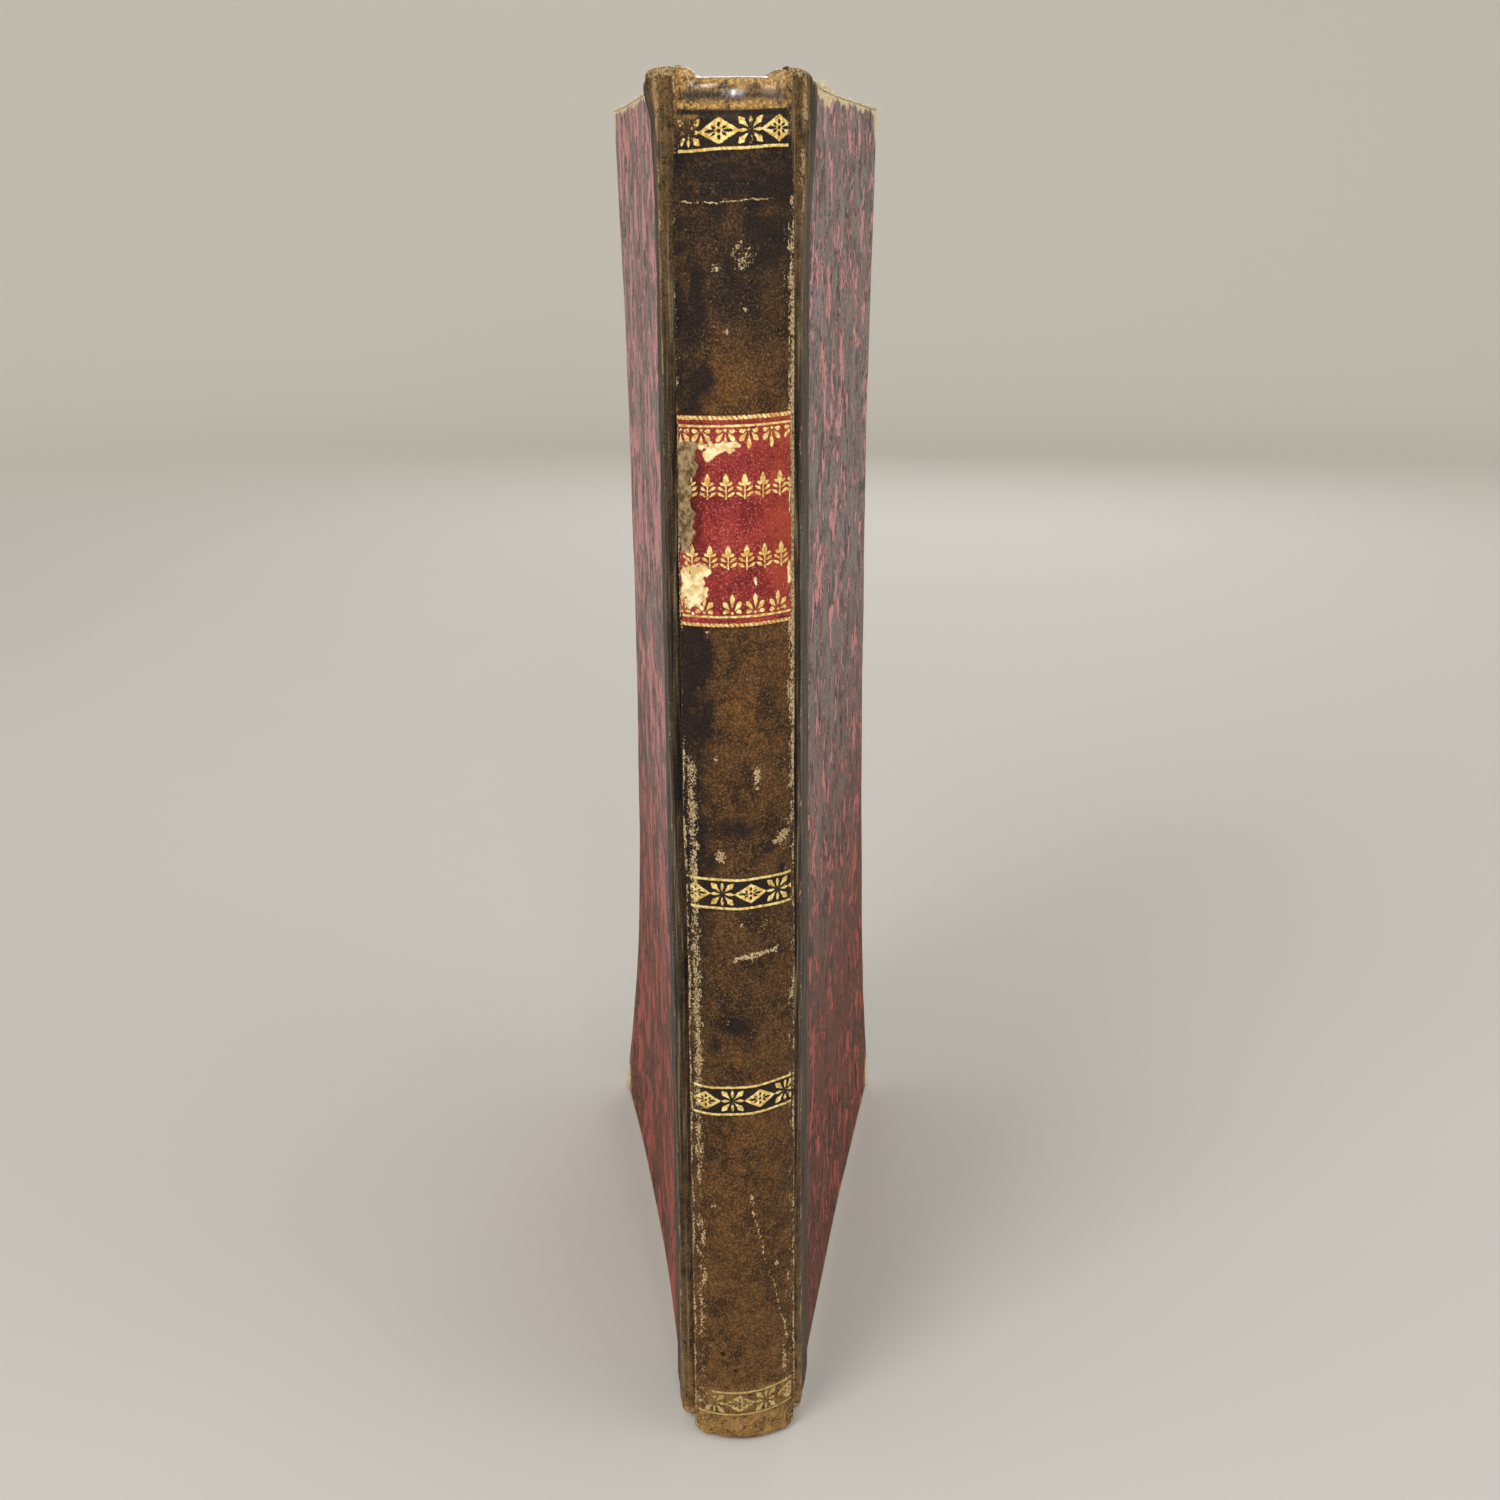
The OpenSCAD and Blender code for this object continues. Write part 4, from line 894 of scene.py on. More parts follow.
BACK_OPENED, BACK_LEANS = 1.3, (1.8, 4.6)
FRONT_OPENED, FRONT_LEANS = 12.5, (1.8, 2.2)
joint_leather("back_joint_hide", -1, BACK_OPENED, {
    "bead": lambda z: by_height(z, (0, 0.8), (30, 0.6), (60, 0.35), (150, 0.3), (165, 0.7), (190, 0.8),
                                (206, 0.7)),
    "edge": lambda z: by_height(z, (0, 0.9), (100, 0.85), (206, 1.0)),
    "flare": lambda z: 0.3 * smooth(z, 186, 201) + 0.95 * smooth(z, 199.5, 204.6),
    "rise": 1.12, "fall": 9.5, "dark": 0.62})
joint_leather("front_joint_hide", 1, FRONT_OPENED, {
    "bead": lambda z: by_height(z, (0, 0.65), (40, 0.45), (90, 0.4), (180, 0.4), (195, 0.7), (206, 0.8)),
    "edge": lambda z: by_height(z, (0, 0.8), (100, 0.95), (206, 0.9)),
    "flare": lambda z: 1.1 * smooth(z, 178, 204.5), "rise": 0.92, "fall": 5.0, "dark": 0.55})


# Side papers: a pulled paste paper of the old kind, a rose ground clotted over with slate and black, glued
# over board and leather edge and turned in. Head, tail, corners and fore-edge are rubbed to the board.
side_pattern, given, out = group("clotted side paper", {"Place": "v", "Rose": "f", "Bare": "f"},
                                 {"Colour": "c", "Roughness": "f", "Height": "f"})
P = side_pattern
spot = given["Place"]
drift = noise(P, spot, 0.075, 5.0, 0.6, 1.5)
clot = noise(P, spot, 0.12, 5.0, 0.62, 1.1)
vein = noise(P, spot, 0.16, 4.0, 0.58, 2.2)
fine = noise(P, spot, 3.2, 3.0, 0.65)
crumb = noise(P, spot, 0.55, 4.0, 0.66, 0.5)
# towards the tail the paper is darker and redder: partly toning of the paper, partly painted shade and warm
# light reflected up from below
toning_and_painted_shade = fade(P, node(P, "SeparateXYZ", Vector=spot).outputs["Z"], 140.0, 36.0, 0.0, 0.95)
broad = noise(P, spot, 0.06, 2.0)
ground = mixed(P, fade(P, clot, 0.42, 0.56), colour(62, 58, 58), colour(126, 126, 120))
ground = mixed(P, fade(P, drift, 0.56, 0.62), ground, colour(58, 52, 52))
ground = mixed(P, fade(P, crumb, 0.52, 0.66, 0.0, 0.4), ground, colour(154, 150, 142))
ground = mixed(P, times(P, fade(P, broad, 0.4, 0.7), 0.35), ground, colour(92, 68, 56))
edge = calc(P, "ABSOLUTE", calc(P, "SUBTRACT", vein, 0.5))
threads = fade(P, edge, 0.022, 0.008)
heaped = weighted(P, (calc(P, "SUBTRACT", drift, clot), 0.55), (calc(P, "SUBTRACT", crumb, 0.5), 0.3))
islands = fade(P, calc(P, "ADD", heaped, given["Rose"]), 0.03, 0.06)
rose = calc(P, "MAXIMUM", times(P, threads, 0.75), islands)
rose_tone = mixed(P, fade(P, fine, 0.35, 0.62), colour(188, 112, 116), colour(230, 168, 166))
tone = mixed(P, times(P, rose, 0.92), ground, rose_tone)
tone = mixed(P, times(P, fade(P, fine, 0.58, 0.75), 0.22), tone, colour(190, 170, 160))
worn_to = weighted(P, (given["Bare"], 0.75), (fine, 0.34), (crumb, 0.28))
# partly toning, partly painted shade and reflected warm light, growing towards the tail
tone = mixed(P, toning_and_painted_shade, tone, colour(200, 138, 112), "MULTIPLY")
half_bare = fade(P, worn_to, 0.5, 0.66)
bare = fade(P, worn_to, 0.68, 0.76)
tone = mixed(P, times(P, half_bare, 0.6), tone, colour(166, 132, 110))
fibre_tone = mixed(P, fade(P, fine, 0.35, 0.62), colour(184, 158, 114), colour(240, 224, 184))
tone = mixed(P, bare, tone, fibre_tone)
feed(P, out["Colour"], tone)
feed(P, out["Roughness"], weighted(P, (fade(P, clot, 0.3, 0.7, 0.5, 0.62), 1.0), (bare, 0.3)))
feed(P, out["Height"], weighted(P, (fine, 0.5), (calc(P, "SUBTRACT", rose, bare), 0.35)))

CORNER_R = 2.5
EDGE_R = 1.3
PAPER_START = 9.6
PAPER_STEP = 1.3
PAPER_T = 0.3
HALF_H = COVER_H / 2
TINY = 1e-6


def spaced(start, end, step, fine_end, fine_step):
    """Stops from start to end that close up to fine_step over the last fine_end."""
    return np.concatenate([np.arange(start, end - fine_end - 0.4 * step, step),
                           np.arange(end - fine_end, end + TINY, fine_step)])


def side_paper(title, body, side, opened, leans, rose, bare_at, head_flare):
    """Paper over one board: a face grid with rounded corners, a belt carried round the three free edges,
    and a flap turned in on the inside, all warped with the board."""
    corner = CORNER_R - EDGE_R
    mid_v, mid_z = COVER_W - EDGE_R - corner, HALF_H - EDGE_R - corner
    v_stops = spaced(PAPER_START, COVER_W - EDGE_R, PAPER_STEP, corner, corner / 4)
    half_z = spaced(0, HALF_H - EDGE_R, PAPER_STEP, corner, corner / 4)
    z_stops = HALF_H + np.concatenate([-half_z[:0:-1], half_z])
    v, z = np.meshgrid(v_stops, z_stops, indexing="ij")
    near_v = np.clip((v - mid_v) / corner, 0, 1)
    near_z = np.clip((np.abs(z - HALF_H) - mid_z) / corner, 0, 1)
    in_corner = (near_v > 0) & (near_z > 0)
    round_v = near_v * np.sqrt(1 - near_z ** 2 / 2)
    round_z = near_z * np.sqrt(1 - near_v ** 2 / 2)
    v = np.where(in_corner, mid_v + corner * round_v, v)
    z = np.where(in_corner, HALF_H + np.sign(z - HALF_H) * (mid_z + corner * round_z), z)
    ids = np.arange(v.size).reshape(v.shape)
    walk = np.concatenate([ids[:, 0], ids[-1, 1:], ids[-2::-1, -1]])
    bv, bz = v.ravel()[walk], z.ravel()[walk]
    rel_v = np.maximum(bv - mid_v, 0)
    rel_z = np.sign(bz - HALF_H) * np.maximum(np.abs(bz - HALF_H) - mid_z, 0)
    long = np.maximum(np.hypot(rel_v, rel_z), TINY)
    straight = np.minimum(rel_v, np.abs(rel_z)) < TINY
    at_end = straight & (rel_v < corner - TINY)
    out_v = np.where(at_end, 0.0, rel_v / long)
    out_z = np.where(at_end, np.sign(rel_z), rel_z / long)
    out_z = np.where(straight & ~at_end, 0.0, out_z)
    turns = np.linspace(0, np.pi, 15)[1:, None]
    belt_v = bv + EDGE_R * np.sin(turns) * out_v
    belt_z = bz + EDGE_R * np.sin(turns) * out_z
    belt_u = EDGE_R * np.cos(turns) + 0 * bv
    flap = np.linspace(0, TURN_IN - EDGE_R, 9)[1:, None]
    width = COVER_W - EDGE_R - PAPER_START
    flap_v = PAPER_START + (bv - PAPER_START) * (COVER_W - EDGE_R - flap - PAPER_START) / width
    flap_z = HALF_H + (bz - HALF_H) * (HALF_H - EDGE_R - flap) / (HALF_H - EDGE_R)
    all_v = np.concatenate([v.ravel(), belt_v.ravel(), flap_v.ravel()])
    all_z = np.concatenate([z.ravel(), belt_z.ravel(), flap_z.ravel()])
    all_u = np.concatenate([np.full(v.size, EDGE_R), belt_u.ravel(), np.full(flap_v.size, -EDGE_R)])
    rounds = v.size + np.arange(belt_v.size + flap_v.size).reshape(-1, walk.size)
    faces = np.concatenate([grid_faces(ids), grid_faces(np.concatenate([walk[None, :], rounds]))])

    def on_belt(values):
        """Numbers for all the points: the given ones round the edge, 0 on the face and the flap."""
        rounded = np.broadcast_to(values, belt_v.shape).ravel()
        return np.concatenate([np.zeros(v.size), rounded, np.zeros(flap_v.size)])

    bare = bare_at(all_v, all_z, np.minimum.reduce([COVER_W - all_v, all_z, COVER_H - all_z]))
    roughen = ripple(31 + side, all_v + 0.7 * all_z, (5.1, 0.05), (2.3, 0.04))
    roughen = roughen + ripple(41 + side, all_z - 0.4 * all_v, (3.7, 0.05), (1.9, 0.03))
    worn_out = on_belt(np.sin(turns)) * bare * (roughen - 0.1)
    all_v = all_v + on_belt(out_v) * worn_out
    all_z = all_z + on_belt(out_z) * worn_out
    cockle = ripple(51 + side, all_z + 0.3 * all_v, (61, 0.05), (27, 0.03))
    cockle = cockle + ripple(53 + side, all_v, (47, 0.04))
    flare = head_flare(all_z) * smooth(all_v, 46, 12) * (all_u + EDGE_R) / (2 * EDGE_R)
    all_u = all_u + cockle * smooth(all_u, 0.6, 1.29) + flare + warp(leans, all_v, all_z)
    made = put(title, cover_place(side, opened, all_u, all_v, all_z), faces, side_finish(title, rose), body,
               f"{title.split('_')[0]}_side_paper", "patterned_paper", bare=bare)
    sheet = made.modifiers.new("thickness", "SOLIDIFY")
    sheet.thickness = PAPER_T * MM
    sheet.offset = -1.0


def side_finish(title, rose):
    """The side paper's material, with its own share of rose."""
    finish, tree = new_material(title.replace("_", " "))
    sheet = placed(tree, side_pattern, Place=place_mm(tree), Rose=rose, Bare=field(tree, "bare"))
    finish_surface(tree, sheet["Colour"], sheet["Roughness"], sheet["Height"], 0.1, Specular_IOR_Level=0.08)
    return finish


def rubbed_corners(v, z, high):
    """Rubbing round the two outer corners, a soft oval on each."""
    return 1.05 * np.exp(-(((v - COVER_W) / 8) ** 2 + ((np.abs(z - HALF_H) - HALF_H) / high) ** 2))


def back_bare(v, z, from_edge):
    """Rubbing of the back cover's paper: its whole head edge, its tail corner and tail edge most of all."""
    depth = 1.9 + ripple(91, v, (31, 0.6), (11, 0.5), (4.3, 0.35))
    return np.maximum.reduce([
        0.6 * np.exp(-(from_edge / 0.9) ** 2), smooth(COVER_H - z, depth, 0.3 * depth),
        0.85 * smooth(z, 2.2, 0.5), rubbed_corners(v, z, 7)])


def front_bare(v, z, from_edge):
    """Rubbing of the front cover's paper: frayed to the board along the head and at both corners."""
    depth = 1.9 + 2.0 * np.exp(-((v - 30) / 14) ** 2) + ripple(92, v, (27, 0.7), (9, 0.6), (3.7, 0.4))
    return np.maximum.reduce([
        0.6 * np.exp(-(from_edge / 1.0) ** 2), smooth(COVER_H - z, depth, 0.3 * depth),
        0.85 * smooth(z, 2.4, 0.6), rubbed_corners(v, z, 8),
        0.9 * np.exp(-(((v - COVER_W) / 3) ** 2 + ((z - 22) / 5) ** 2))])


side_paper("back_side_sheet", "back_cover", -1, BACK_OPENED, BACK_LEANS, 0.03, back_bare,
           lambda z: 0.25 * smooth(z, 186, 201) + 0.6 * smooth(z, 199.5, 204.6))
side_paper("front_side_sheet", "front_cover", 1, FRONT_OPENED, FRONT_LEANS, -0.015, front_bare,
           lambda z: 0.8 * smooth(z, 178, 204.5))


# Frayed edges: where the paper has worn through, fibres of the pasteboard stand up in small tufts along
# the head of each cover and at its corners.
fray_finish, tree = new_material("frayed fibres")
place = place_mm(tree)
shred = noise(tree, place, 1.6, 3.0)
finish_surface(tree, mixed(tree, shred, colour(206, 186, 140), colour(240, 228, 196)), 0.95,
               Specular_IOR_Level=0.1)


ROOT_IN = 0.25
FIBRE_AT = np.array([0.0, 0.4, 0.75, 1.0])[:, None]
FIBRE_TAPER = np.array([1.0, 0.8, 0.5, 0.15])[:, None]
FIBRE_SIDES = np.array([(-1, -1), (1, -1), (1, 1), (-1, 1)])
ring = np.arange(4)
sleeve = np.stack([ring, (ring + 1) % 4, (ring + 1) % 4 + 4, ring + 4], -1)
FIBRE_FACES = np.concatenate([sleeve, sleeve + 4, sleeve + 8, [[3, 2, 1, 0], [12, 13, 14, 15]]])


def frayed(title, body, side, opened, leans, seed, tufts):
    """Tapered four-sided fibres. Each one's middle line leaves a root just inside the board's edge along its
    lean and bends off with the square of the way gone; four corners stand round it at each of four stops."""
    rng = np.random.RandomState(seed)
    fibres = []
    for mid_v, mid_z, spread, count, length in tufts:
        root_z = np.clip(mid_z, ROOT_IN, COVER_H - ROOT_IN)
        for _ in range(count):
            root_v = min(mid_v + rng.normal(0, spread), COVER_W - 0.3)
            root_u = rng.uniform(-0.9, 1.35)
            reach_out = length * rng.uniform(0.4, 1.0)
            lean_u = rng.normal(0.15, 0.4)
            lean_v = rng.normal(0.0, 0.6)
            lean_z = np.sign(root_z - HALF_H) * rng.uniform(0.5, 1.0)
            ways = reach_out * np.array([lean_u, lean_v, lean_z, *rng.normal(0, 0.5, 2)])
            fibres.append((root_u, root_v, root_z, *ways, rng.uniform(0.06, 0.17)))
    u, v, z, lean_u, lean_v, lean_z, curl_u, curl_v, thick = np.array(fibres).T[:, :, None, None]
    u = u + lean_u * FIBRE_AT + curl_u * FIBRE_AT ** 2
    v = v + lean_v * FIBRE_AT + curl_v * FIBRE_AT ** 2
    u = u + warp(leans, v, z)
    z = z + lean_z * FIBRE_AT * (1 - 0.3 * FIBRE_AT)
    thick = thick * FIBRE_TAPER
    corners = np.broadcast_arrays(u + FIBRE_SIDES[:, 0] * thick, v + FIBRE_SIDES[:, 1] * thick, z)
    faces = FIBRE_FACES + 16 * np.arange(len(fibres))[:, None, None]
    put(title, cover_place(side, opened, *(part.ravel() for part in corners)), faces.reshape(-1, 4),
        fray_finish, body, slot="pasteboard")


frayed("front_fray", "front_cover", 1, FRONT_OPENED, FRONT_LEANS, 5, (
    (26.0, 204.8, 5.0, 130, 2.2), (36.0, 204.8, 5.0, 70, 1.5), (60.0, 204.8, 14.0, 60, 0.8),
    (100.0, 204.8, 12.0, 50, 0.8), (118.5, 204.6, 1.5, 30, 1.0), (118.5, 0.4, 1.5, 20, 0.5)))
frayed("back_fray", "back_cover", -1, BACK_OPENED, BACK_LEANS, 6, (
    (20.0, 204.8, 6.0, 40, 0.9), (60.0, 204.8, 20.0, 70, 0.7), (110.0, 204.8, 8.0, 50, 0.9),
    (118.5, 204.6, 1.2, 30, 1.0), (118.5, 0.4, 1.5, 20, 0.5)))


# Gilding: gold leaf struck with hot tools. Four strips of the glazed leather carry a roll of lozenges and
# eight-petalled flowers between two lines, put on by hand and so a little out of level; the gold has
# rubbed off in specks and, in places, whole.
def leaf_mark(s, z, turn, start, length, width, blunt=1.0):
    """How far inside a pointed leaf each point is, in mm: the leaf's half width at that place, a half wave
    over its length, less the distance from its middle line."""
    along = s * np.cos(np.radians(turn)) + z * np.sin(np.radians(turn)) - start
    aside = np.abs(z * np.cos(np.radians(turn)) - s * np.sin(np.radians(turn)))
    share = np.clip(along / length, 0, 1)
    half_w = width / 2 * np.sin(np.pi * share ** blunt)
    return np.minimum(half_w - aside, np.minimum(along, length - along))


def lozenge_mark(s, z):
    """Diamond of gold, less a dot in its middle and eight leaf-shaped slots round the dot."""
    gold = 1.3 * (1 - np.abs(s) / 2.5 - np.abs(z) / 1.5)
    slots = [0.22 - np.hypot(s, z)]
    for turn in (0, 90, 180, 270):
        long = 1.45 if turn % 180 == 0 else 0.72
        slots.append(leaf_mark(s, z, turn, 0.34, long, 0.38))
        slots.append(leaf_mark(s, z, turn + (30 if turn % 180 == 0 else 60), 0.38, 0.72, 0.3))
        slots.append(leaf_mark(s, z, turn - (30 if turn % 180 == 0 else 60), 0.38, 0.72, 0.3))
    return np.minimum(gold, -np.maximum.reduce(slots))


def flower_mark(s, z):
    """Four broad lobed petals on the diagonals, four small ones between them, round an empty middle."""
    petals = []
    for turn in (0, 90, 180, 270):
        lobes = 0.78 + 0.12 * np.sin(8.5 * np.hypot(s, z))
        petals.append(leaf_mark(s, z, turn + 45, 0.2, 2.15, lobes, 1.9))
        petals.append(leaf_mark(s, z, turn, 0.18, 1.6, 0.46, 1.5))
    return np.maximum.reduce(petals)


def lost(base, marks, s, z):
    """Share of the gold that is gone: a base share all over, and more at soft marks like the scuffs'."""
    return np.maximum(base, patches(marks, s, z))


worn_gold, given, out = group("worn gold", {"Place": "v", "Inside": "f", "Loss": "f"},
                              {"Gold": "f", "Colour": "c", "Height": "f"})
G = worn_gold
rub = noise(G, given["Place"], 1.5, 4.0, 0.66, 0.3)
speck = noise(G, given["Place"], 4.6, 3.0, 0.6)
ragged = weighted(G, (given["Inside"], 1.0), (calc(G, "SUBTRACT", speck, 0.5), 0.3))
left = weighted(G, (rub, 0.6), (speck, 0.4))
kept = fade(G, calc(G, "SUBTRACT", left, given["Loss"]), -0.02, 0.05)
feed(G, out["Gold"], times(G, fade(G, ragged, -0.03, 0.05), kept))
feed(G, out["Colour"], mixed(G, fade(G, rub, 0.4, 0.62), colour(212, 166, 80), colour(255, 236, 162)))
feed(G, out["Height"], speck)


def gold_over(tree, place, ground, roughness, height, depth, tarnish=(150, 128, 84)):
    """Finishes a surface whose stored fields say where gold lies on the ground and how much is lost."""
    gold = placed(tree, worn_gold, Place=place, Inside=field(tree, "gold"), Loss=field(tree, "loss"))
    metal = mixed(tree, field(tree, "dull"), gold["Colour"], colour(*tarnish))
    share = times(tree, gold["Gold"], 0.93)
    rough = node(tree, "Mix", {"data_type": "FLOAT"}, Factor=share)
    feed(tree, rough.inputs[2], roughness)
    feed(tree, rough.inputs[3], 0.36)
    finish_surface(tree, mixed(tree, share, ground, metal), rough.outputs[0], height, depth,
                   Metallic=times(tree, share, 0.28), Specular_IOR_Level=0.12)


struck_finish, tree = new_material("gilt calf")
place = place_mm(tree)
hide = leather_at(tree, place)
gold_over(tree, place, hide["Colour"], hide["Roughness"], hide["Height"], 0.09)

GILT_LOSS = (
    ((-6.5, 8.0, 2.6, 3.5, 0, 0.64), (5.6, 6.8, 2.0, 2.6, 0, 0.58), (-0.9, 7.2, 9.0, 3.0, 0, 0.47)),
    ((6.9, 59.4, 1.6, 2.6, 0, 0.5), (-1.6, 59.4, 0.5, 3.4, 8, 0.44), (-7.6, 59.0, 0.9, 3.0, 0, 0.46)),
    ((7.6, 91.4, 1.0, 3.0, 0, 0.5), (-2.6, 91.6, 0.35, 3.0, -6, 0.46), (-7.4, 93.0, 0.9, 2.0, 0, 0.5)),
    ((2.1, 198.0, 0.6, 3.0, 4, 0.62), (-6.5, 198.6, 2.3, 2.8, 0, 0.66), (-7.8, 197.6, 0.9, 3.0, 0, 0.62),
     (8.0, 198.0, 0.9, 3.0, 0, 0.5), (4.4, 199.9, 0.7, 0.8, 0, 0.5)))
LOZENGE_AT = (-0.9, 2.6, 1.4, -2.1)
MOTIF_STEP = 8.4
BAND_HALF = 2.75
LINE_AT = (2.0, 2.2, 2.2, 2.2)
LINE_HALF_W = 0.19
STRIP_HALF = 8.2
strip_s = np.linspace(-STRIP_HALF, STRIP_HALF, 147)
SHORT_HALF = 2.3
HEAD_GROWN = 1.13


def over_spine(s, z, rise):
    """Closed skin over the spine: its face stands off the outline by the rise, its back lies inside."""
    x, y, out_x, out_y = across_spine(s, z)
    return skin(np.stack([x + out_x * rise, y + out_y * rise, z], -1),
                np.stack([x - out_x * 0.3, y - out_y * 0.3, z], -1))


points, faces, stored = [], [], {}
count = 0
for mid, tilt, line_at, lozenge_at, losses in zip(GILT_BANDS, GILT_TILTS, LINE_AT, LOZENGE_AT, GILT_LOSS):
    at_tail, at_head = mid == GILT_BANDS[0], mid == GILT_BANDS[-1]
    low = -SHORT_HALF if at_tail else -BAND_HALF
    s, dz = np.meshgrid(strip_s, np.linspace(low, BAND_HALF, 52), indexing="xy")
    z = mid + dz + tilt * s + 0.05 * np.sin(0.9 * s + mid) * (not at_tail)
    marks = [LINE_HALF_W - np.abs(dz + line_at)]
    if not at_head:
        marks.append(LINE_HALF_W - np.abs(dz - line_at))
    grown = HEAD_GROWN if at_head else 1.0
    for k in (-1, 0, 1):
        marks.append(lozenge_mark((s - lozenge_at - k * MOTIF_STEP) / grown, dz / grown))
        marks.append(flower_mark(s - lozenge_at - (k + 0.5) * MOTIF_STEP, dz))
    gold = np.minimum(np.maximum.reduce(marks), 8.0 - np.abs(s))
    edge = np.minimum.reduce([smooth(np.abs(s), STRIP_HALF, STRIP_HALF - 0.25), smooth(dz, low, low + 0.25),
                              smooth(dz, BAND_HALF, BAND_HALF - 0.25)])
    rise = -0.14 + 0.165 * edge + 0.02 * smooth(gold, -0.05, 0.05) * edge
    strip_points, strip_faces = over_spine(s, z, rise)
    points.append(strip_points)
    faces.append(strip_faces + count)
    count += len(strip_points)
    fields = {"gold": gold, "loss": lost(0.34, losses, s, z), "dull": 0.6 * at_tail + 0 * s}
    for title, values in on_both({**fields, **hide_fields(s, z)}).items():
        stored.setdefault(title, []).append(values)
put("gilt_bands", np.concatenate(points), np.concatenate(faces), struck_finish, "book_block", "spine_gilding",
    "gold_leaf", **{title: np.concatenate(values) for title, values in stored.items()})


# Title label: a thin piece of crimson goatskin with a rope-like line and a plain line at head and foot, a
# row of hanging or standing palmettes beside each, and two rows of plain leaf ornaments between them. Its
# left edge is torn and scraped grey; flakes of the skin's face have come off.
def rope_mark(s, dz):
    """Line of short slanted strokes."""
    saw = np.abs((s + 0.8 * dz) / 0.66 % 1.0 - 0.5) * 0.66
    return np.minimum(0.27 - np.abs(dz), 0.255 - saw)


def palmette_mark(s, z):
    """Fan of five leaves that rises from the foot, the middle one the longest, on a round base."""
    fan = [0.2 - np.hypot(s, z - 0.45)]
    for turn, length in ((22, 1.55), (56, 2.4), (90, 2.95), (124, 2.4), (158, 1.55)):
        curl = z - 0.35 + 0.2 * (s / 1.2) ** 2 * (turn != 90)
        fan.append(leaf_mark(s, curl, turn, 0.2, length - 0.35, 0.62, 2.0))
    return np.maximum.reduce(fan)


def sprig_mark(s, z):
    """Upright leaf between two pairs of curling side leaves, on a short stalk."""
    fan = [np.minimum(0.1 - np.abs(s), 1.75 - np.abs(z))]
    fan.append(np.minimum(leaf_mark(s, z + 0.3, 90, 0.0, 2.1, 0.78, 1.2), np.abs(s) - 0.05))
    for turn in (34, 146):
        for foot, length in ((1.55, 1.35), (0.75, 1.25), (0.0, 0.95)):
            fan.append(leaf_mark(s, z + foot, turn, 0.12, length, 0.42, 1.3))
    return np.maximum.reduce(fan)


LABEL_Z = (132.35, 161.8)
LABEL_T = 0.35
LABEL_TILT = 0.025
rows = np.linspace(*LABEL_Z, 231)
left_edge = -8.62 + ripple(61, rows, (19, 0.1), (5.3, 0.1), (1.9, 0.05))
left_edge = left_edge + 0.35 * np.exp(-((rows - 134.0) / 1.4) ** 2)
right_edge = 7.95 + ripple(62, rows, (23, 0.06), (4.1, 0.05), (1.7, 0.03))
share = np.linspace(0, 1, 151)
LABEL_W = 16.6
s = left_edge[:, None] + (right_edge - left_edge)[:, None] * share[None, :]
level = rows[:, None] + 0 * s
z = level + LABEL_TILT * s
gold = [0.16 - np.abs(level - mid) for mid in (160.3, 134.0)]
gold += [rope_mark(s, level - mid) for mid in (161.4, 132.8)]
gold += [palmette_mark(s - at, 160.2 - level) for at in (-7.8, -4.9, -1.6, 1.5, 4.7, 7.9)]
gold += [palmette_mark(s - at, level - 134.1) for at in (-8.0, -4.8, -0.9, 2.25, 5.6)]
gold += [sprig_mark(s - at, level - 152.1) for at in (-6.6, -4.1, -1.6, 0.9, 3.4, 5.9, 8.0)]
gold += [sprig_mark(s - at, level - 142.3) for at in (-6.4, -3.9, -1.4, 1.1, 3.6, 6.1)]
gold = np.maximum.reduce(gold)

wander = ripple(63, rows, (7.1, 0.3), (3.1, 0.22), (1.3, 0.12))[:, None]
wander = wander + ripple(64, s, (1.7, 0.1), (0.8, 0.06))
scraped = smooth(s + 6.3 - wander - 0.8 * smooth(z, 153, 157), 0.12, -0.12)
scraped = scraped * smooth(z + 0.8 * wander, 142.2, 142.9) * smooth(z - 0.6 * wander, 158.4, 157.7)
FLAKES = ((-2.6, 157.3, 2.6, 0.85, 8, 1.0), (-3.8, 156.4, 1.0, 1.1, 0, 1.0), (-0.5, 157.7, 0.9, 0.5, 0, 1.0),
          (-6.2, 137.7, 1.9, 3.2, 0, 1.0), (-5.3, 140.2, 1.5, 1.0, 10, 1.0), (-7.4, 139.0, 0.9, 2.6, 0, 1.0),
          (7.5, 139.5, 0.4, 2.4, 0, 0.9), (7.8, 150.5, 0.4, 3.6, 0, 0.9),
          (2.3, 138.9, 0.25, 0.6, 0, 1.0))
torn = ripple(65, s + 0.6 * z, (1.9, 0.3), (0.9, 0.2)) + ripple(66, z - 0.7 * s, (2.3, 0.3), (1.1, 0.2))
flaked = np.maximum(smooth(patches(FLAKES, s, z) + 0.35 * torn, 0.42, 0.5), scraped)
grey = scraped * (1 - smooth(z, 141.6, 141.0))
# painted shadow: a dark red-brown band on the red skin along the scraped edge, where the torn edge would
# throw a shadow
shade = np.exp(-((s + 5.7 - wander) / 0.5) ** 2) * smooth(z, 141.5, 143) * smooth(z, 159, 157)
gold = np.where(flaked > 0.5, -0.3, gold)
from_side = LABEL_W * np.minimum(share, 1 - share)[None, :]
from_end = np.minimum(level - LABEL_Z[0], LABEL_Z[1] - level)
edge = np.minimum(smooth(from_side, 0, 0.3), smooth(from_end, 0, 0.3))
rise = (LABEL_T + 0.1) * edge ** 0.7 - 0.1 - 0.12 * flaked * edge - 0.012 * smooth(gold, -0.05, 0.05)

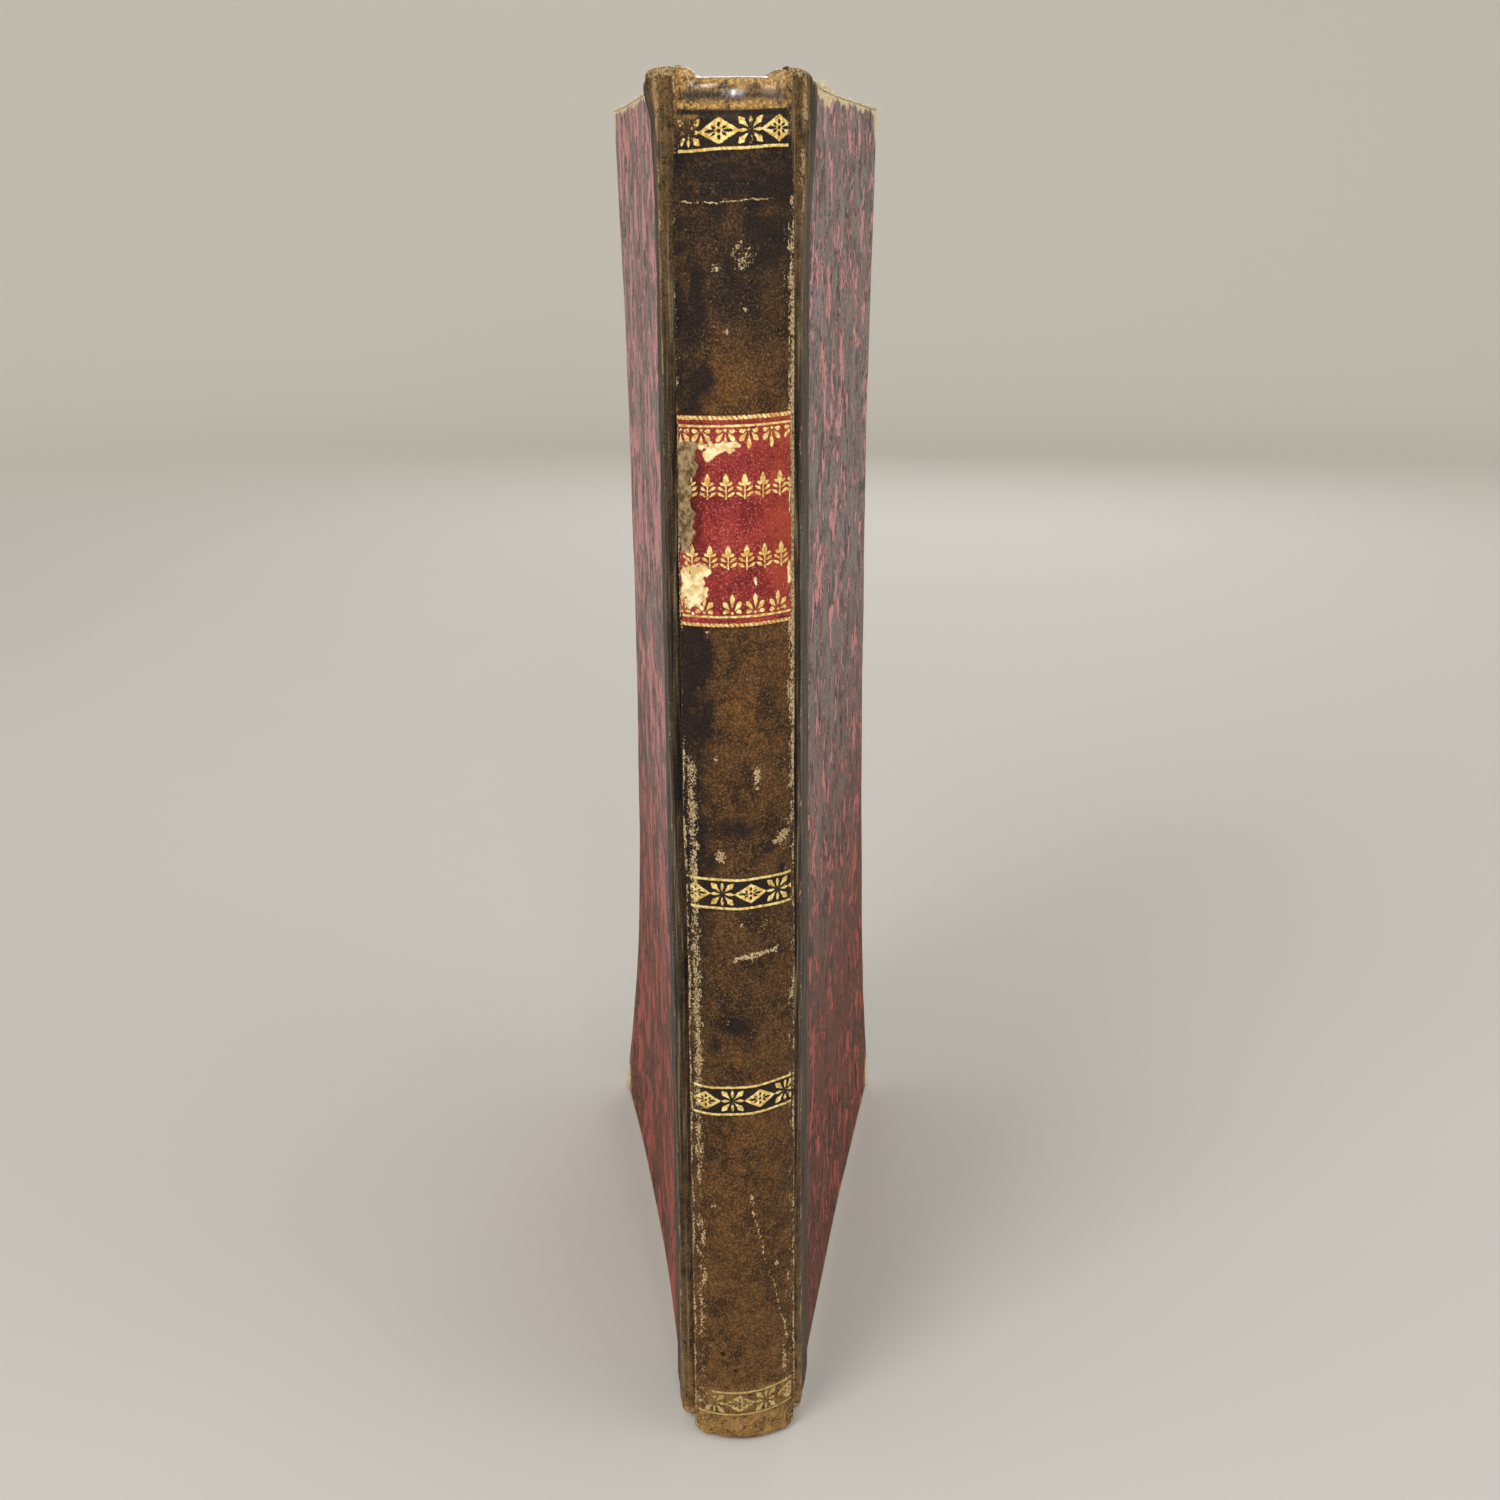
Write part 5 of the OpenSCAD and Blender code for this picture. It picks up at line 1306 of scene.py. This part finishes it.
label_finish, tree = new_material("crimson label leather")
place = place_mm(tree)
cloud = noise(tree, place, 0.25, 4.0, 0.6, 0.4)
mottle = noise(tree, place, 0.9, 4.0, 0.62)
fine = noise(tree, place, 3.4, 3.0, 0.62)
red = mixed(tree, fade(tree, cloud, 0.36, 0.64), colour(114, 30, 32), colour(154, 54, 48))
red = mixed(tree, times(tree, fade(tree, mottle, 0.5, 0.72), 0.5), red, colour(96, 26, 28))
red = mixed(tree, fade(tree, fine, 0.47, 0.36, 0.0, 0.6), red, colour(78, 26, 24))
red = mixed(tree, fade(tree, fine, 0.53, 0.66, 0.0, 0.6), red, colour(212, 118, 98))
red = mixed(tree, times(tree, field(tree, "warm"), fade(tree, mottle, 0.36, 0.6, 0.1, 0.65)), red,
            colour(164, 70, 42))
# the painted shadow beside the scraped edge
red = mixed(tree, times(tree, field(tree, "shade"), 0.8), red, colour(70, 26, 20))
pale = mixed(tree, fade(tree, mottle, 0.36, 0.58), colour(214, 178, 112), colour(250, 234, 186))
dull = mixed(tree, fade(tree, mottle, 0.38, 0.62), colour(90, 70, 46), colour(164, 140, 100))
flesh = mixed(tree, field(tree, "grey"), pale, dull)
skin_tone = mixed(tree, field(tree, "flaked"), red, flesh)
skin_tone = mixed(tree, field(tree, "rim"), skin_tone, colour(74, 34, 26))
label_rough = calc(tree, "ADD", 0.44, times(tree, field(tree, "flaked"), 0.35))
gold_over(tree, place, skin_tone, label_rough, weighted(tree, (fine, 1.0), (mottle, 0.8)), 0.1)
LABEL_LOSS = (
    (-5.0, 150.0, 1.8, 9.0, 0, 0.46), (-6.6, 134.5, 1.6, 3.0, 0, 0.5), (-7.2, 159.5, 1.3, 1.8, 0, 0.48),
    (7.3, 158.5, 0.8, 2.4, 0, 0.5), (1.0, 146.5, 5.0, 1.0, 0, 0.4), (7.6, 146.0, 0.9, 12.0, 0, 0.48),
    (-3.9, 150.7, 1.1, 1.6, 0, 0.44), (3.0, 132.6, 3.0, 0.9, 0, 0.44))
label_fields = {
    "gold": gold, "loss": lost(0.35, LABEL_LOSS, s, z), "dull": 0.0 * s, "flaked": flaked * edge ** 0.5,
    "grey": grey, "shade": shade, "warm": smooth(s, 2.0, 6.0) * smooth(z, 134, 140), "rim": 1 - edge ** 0.5}
label = put("label_skin", *over_spine(s, z, rise), label_finish, "book_block", slot="label_leather",
            **on_both(label_fields))
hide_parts("title_label", "label_gilding")
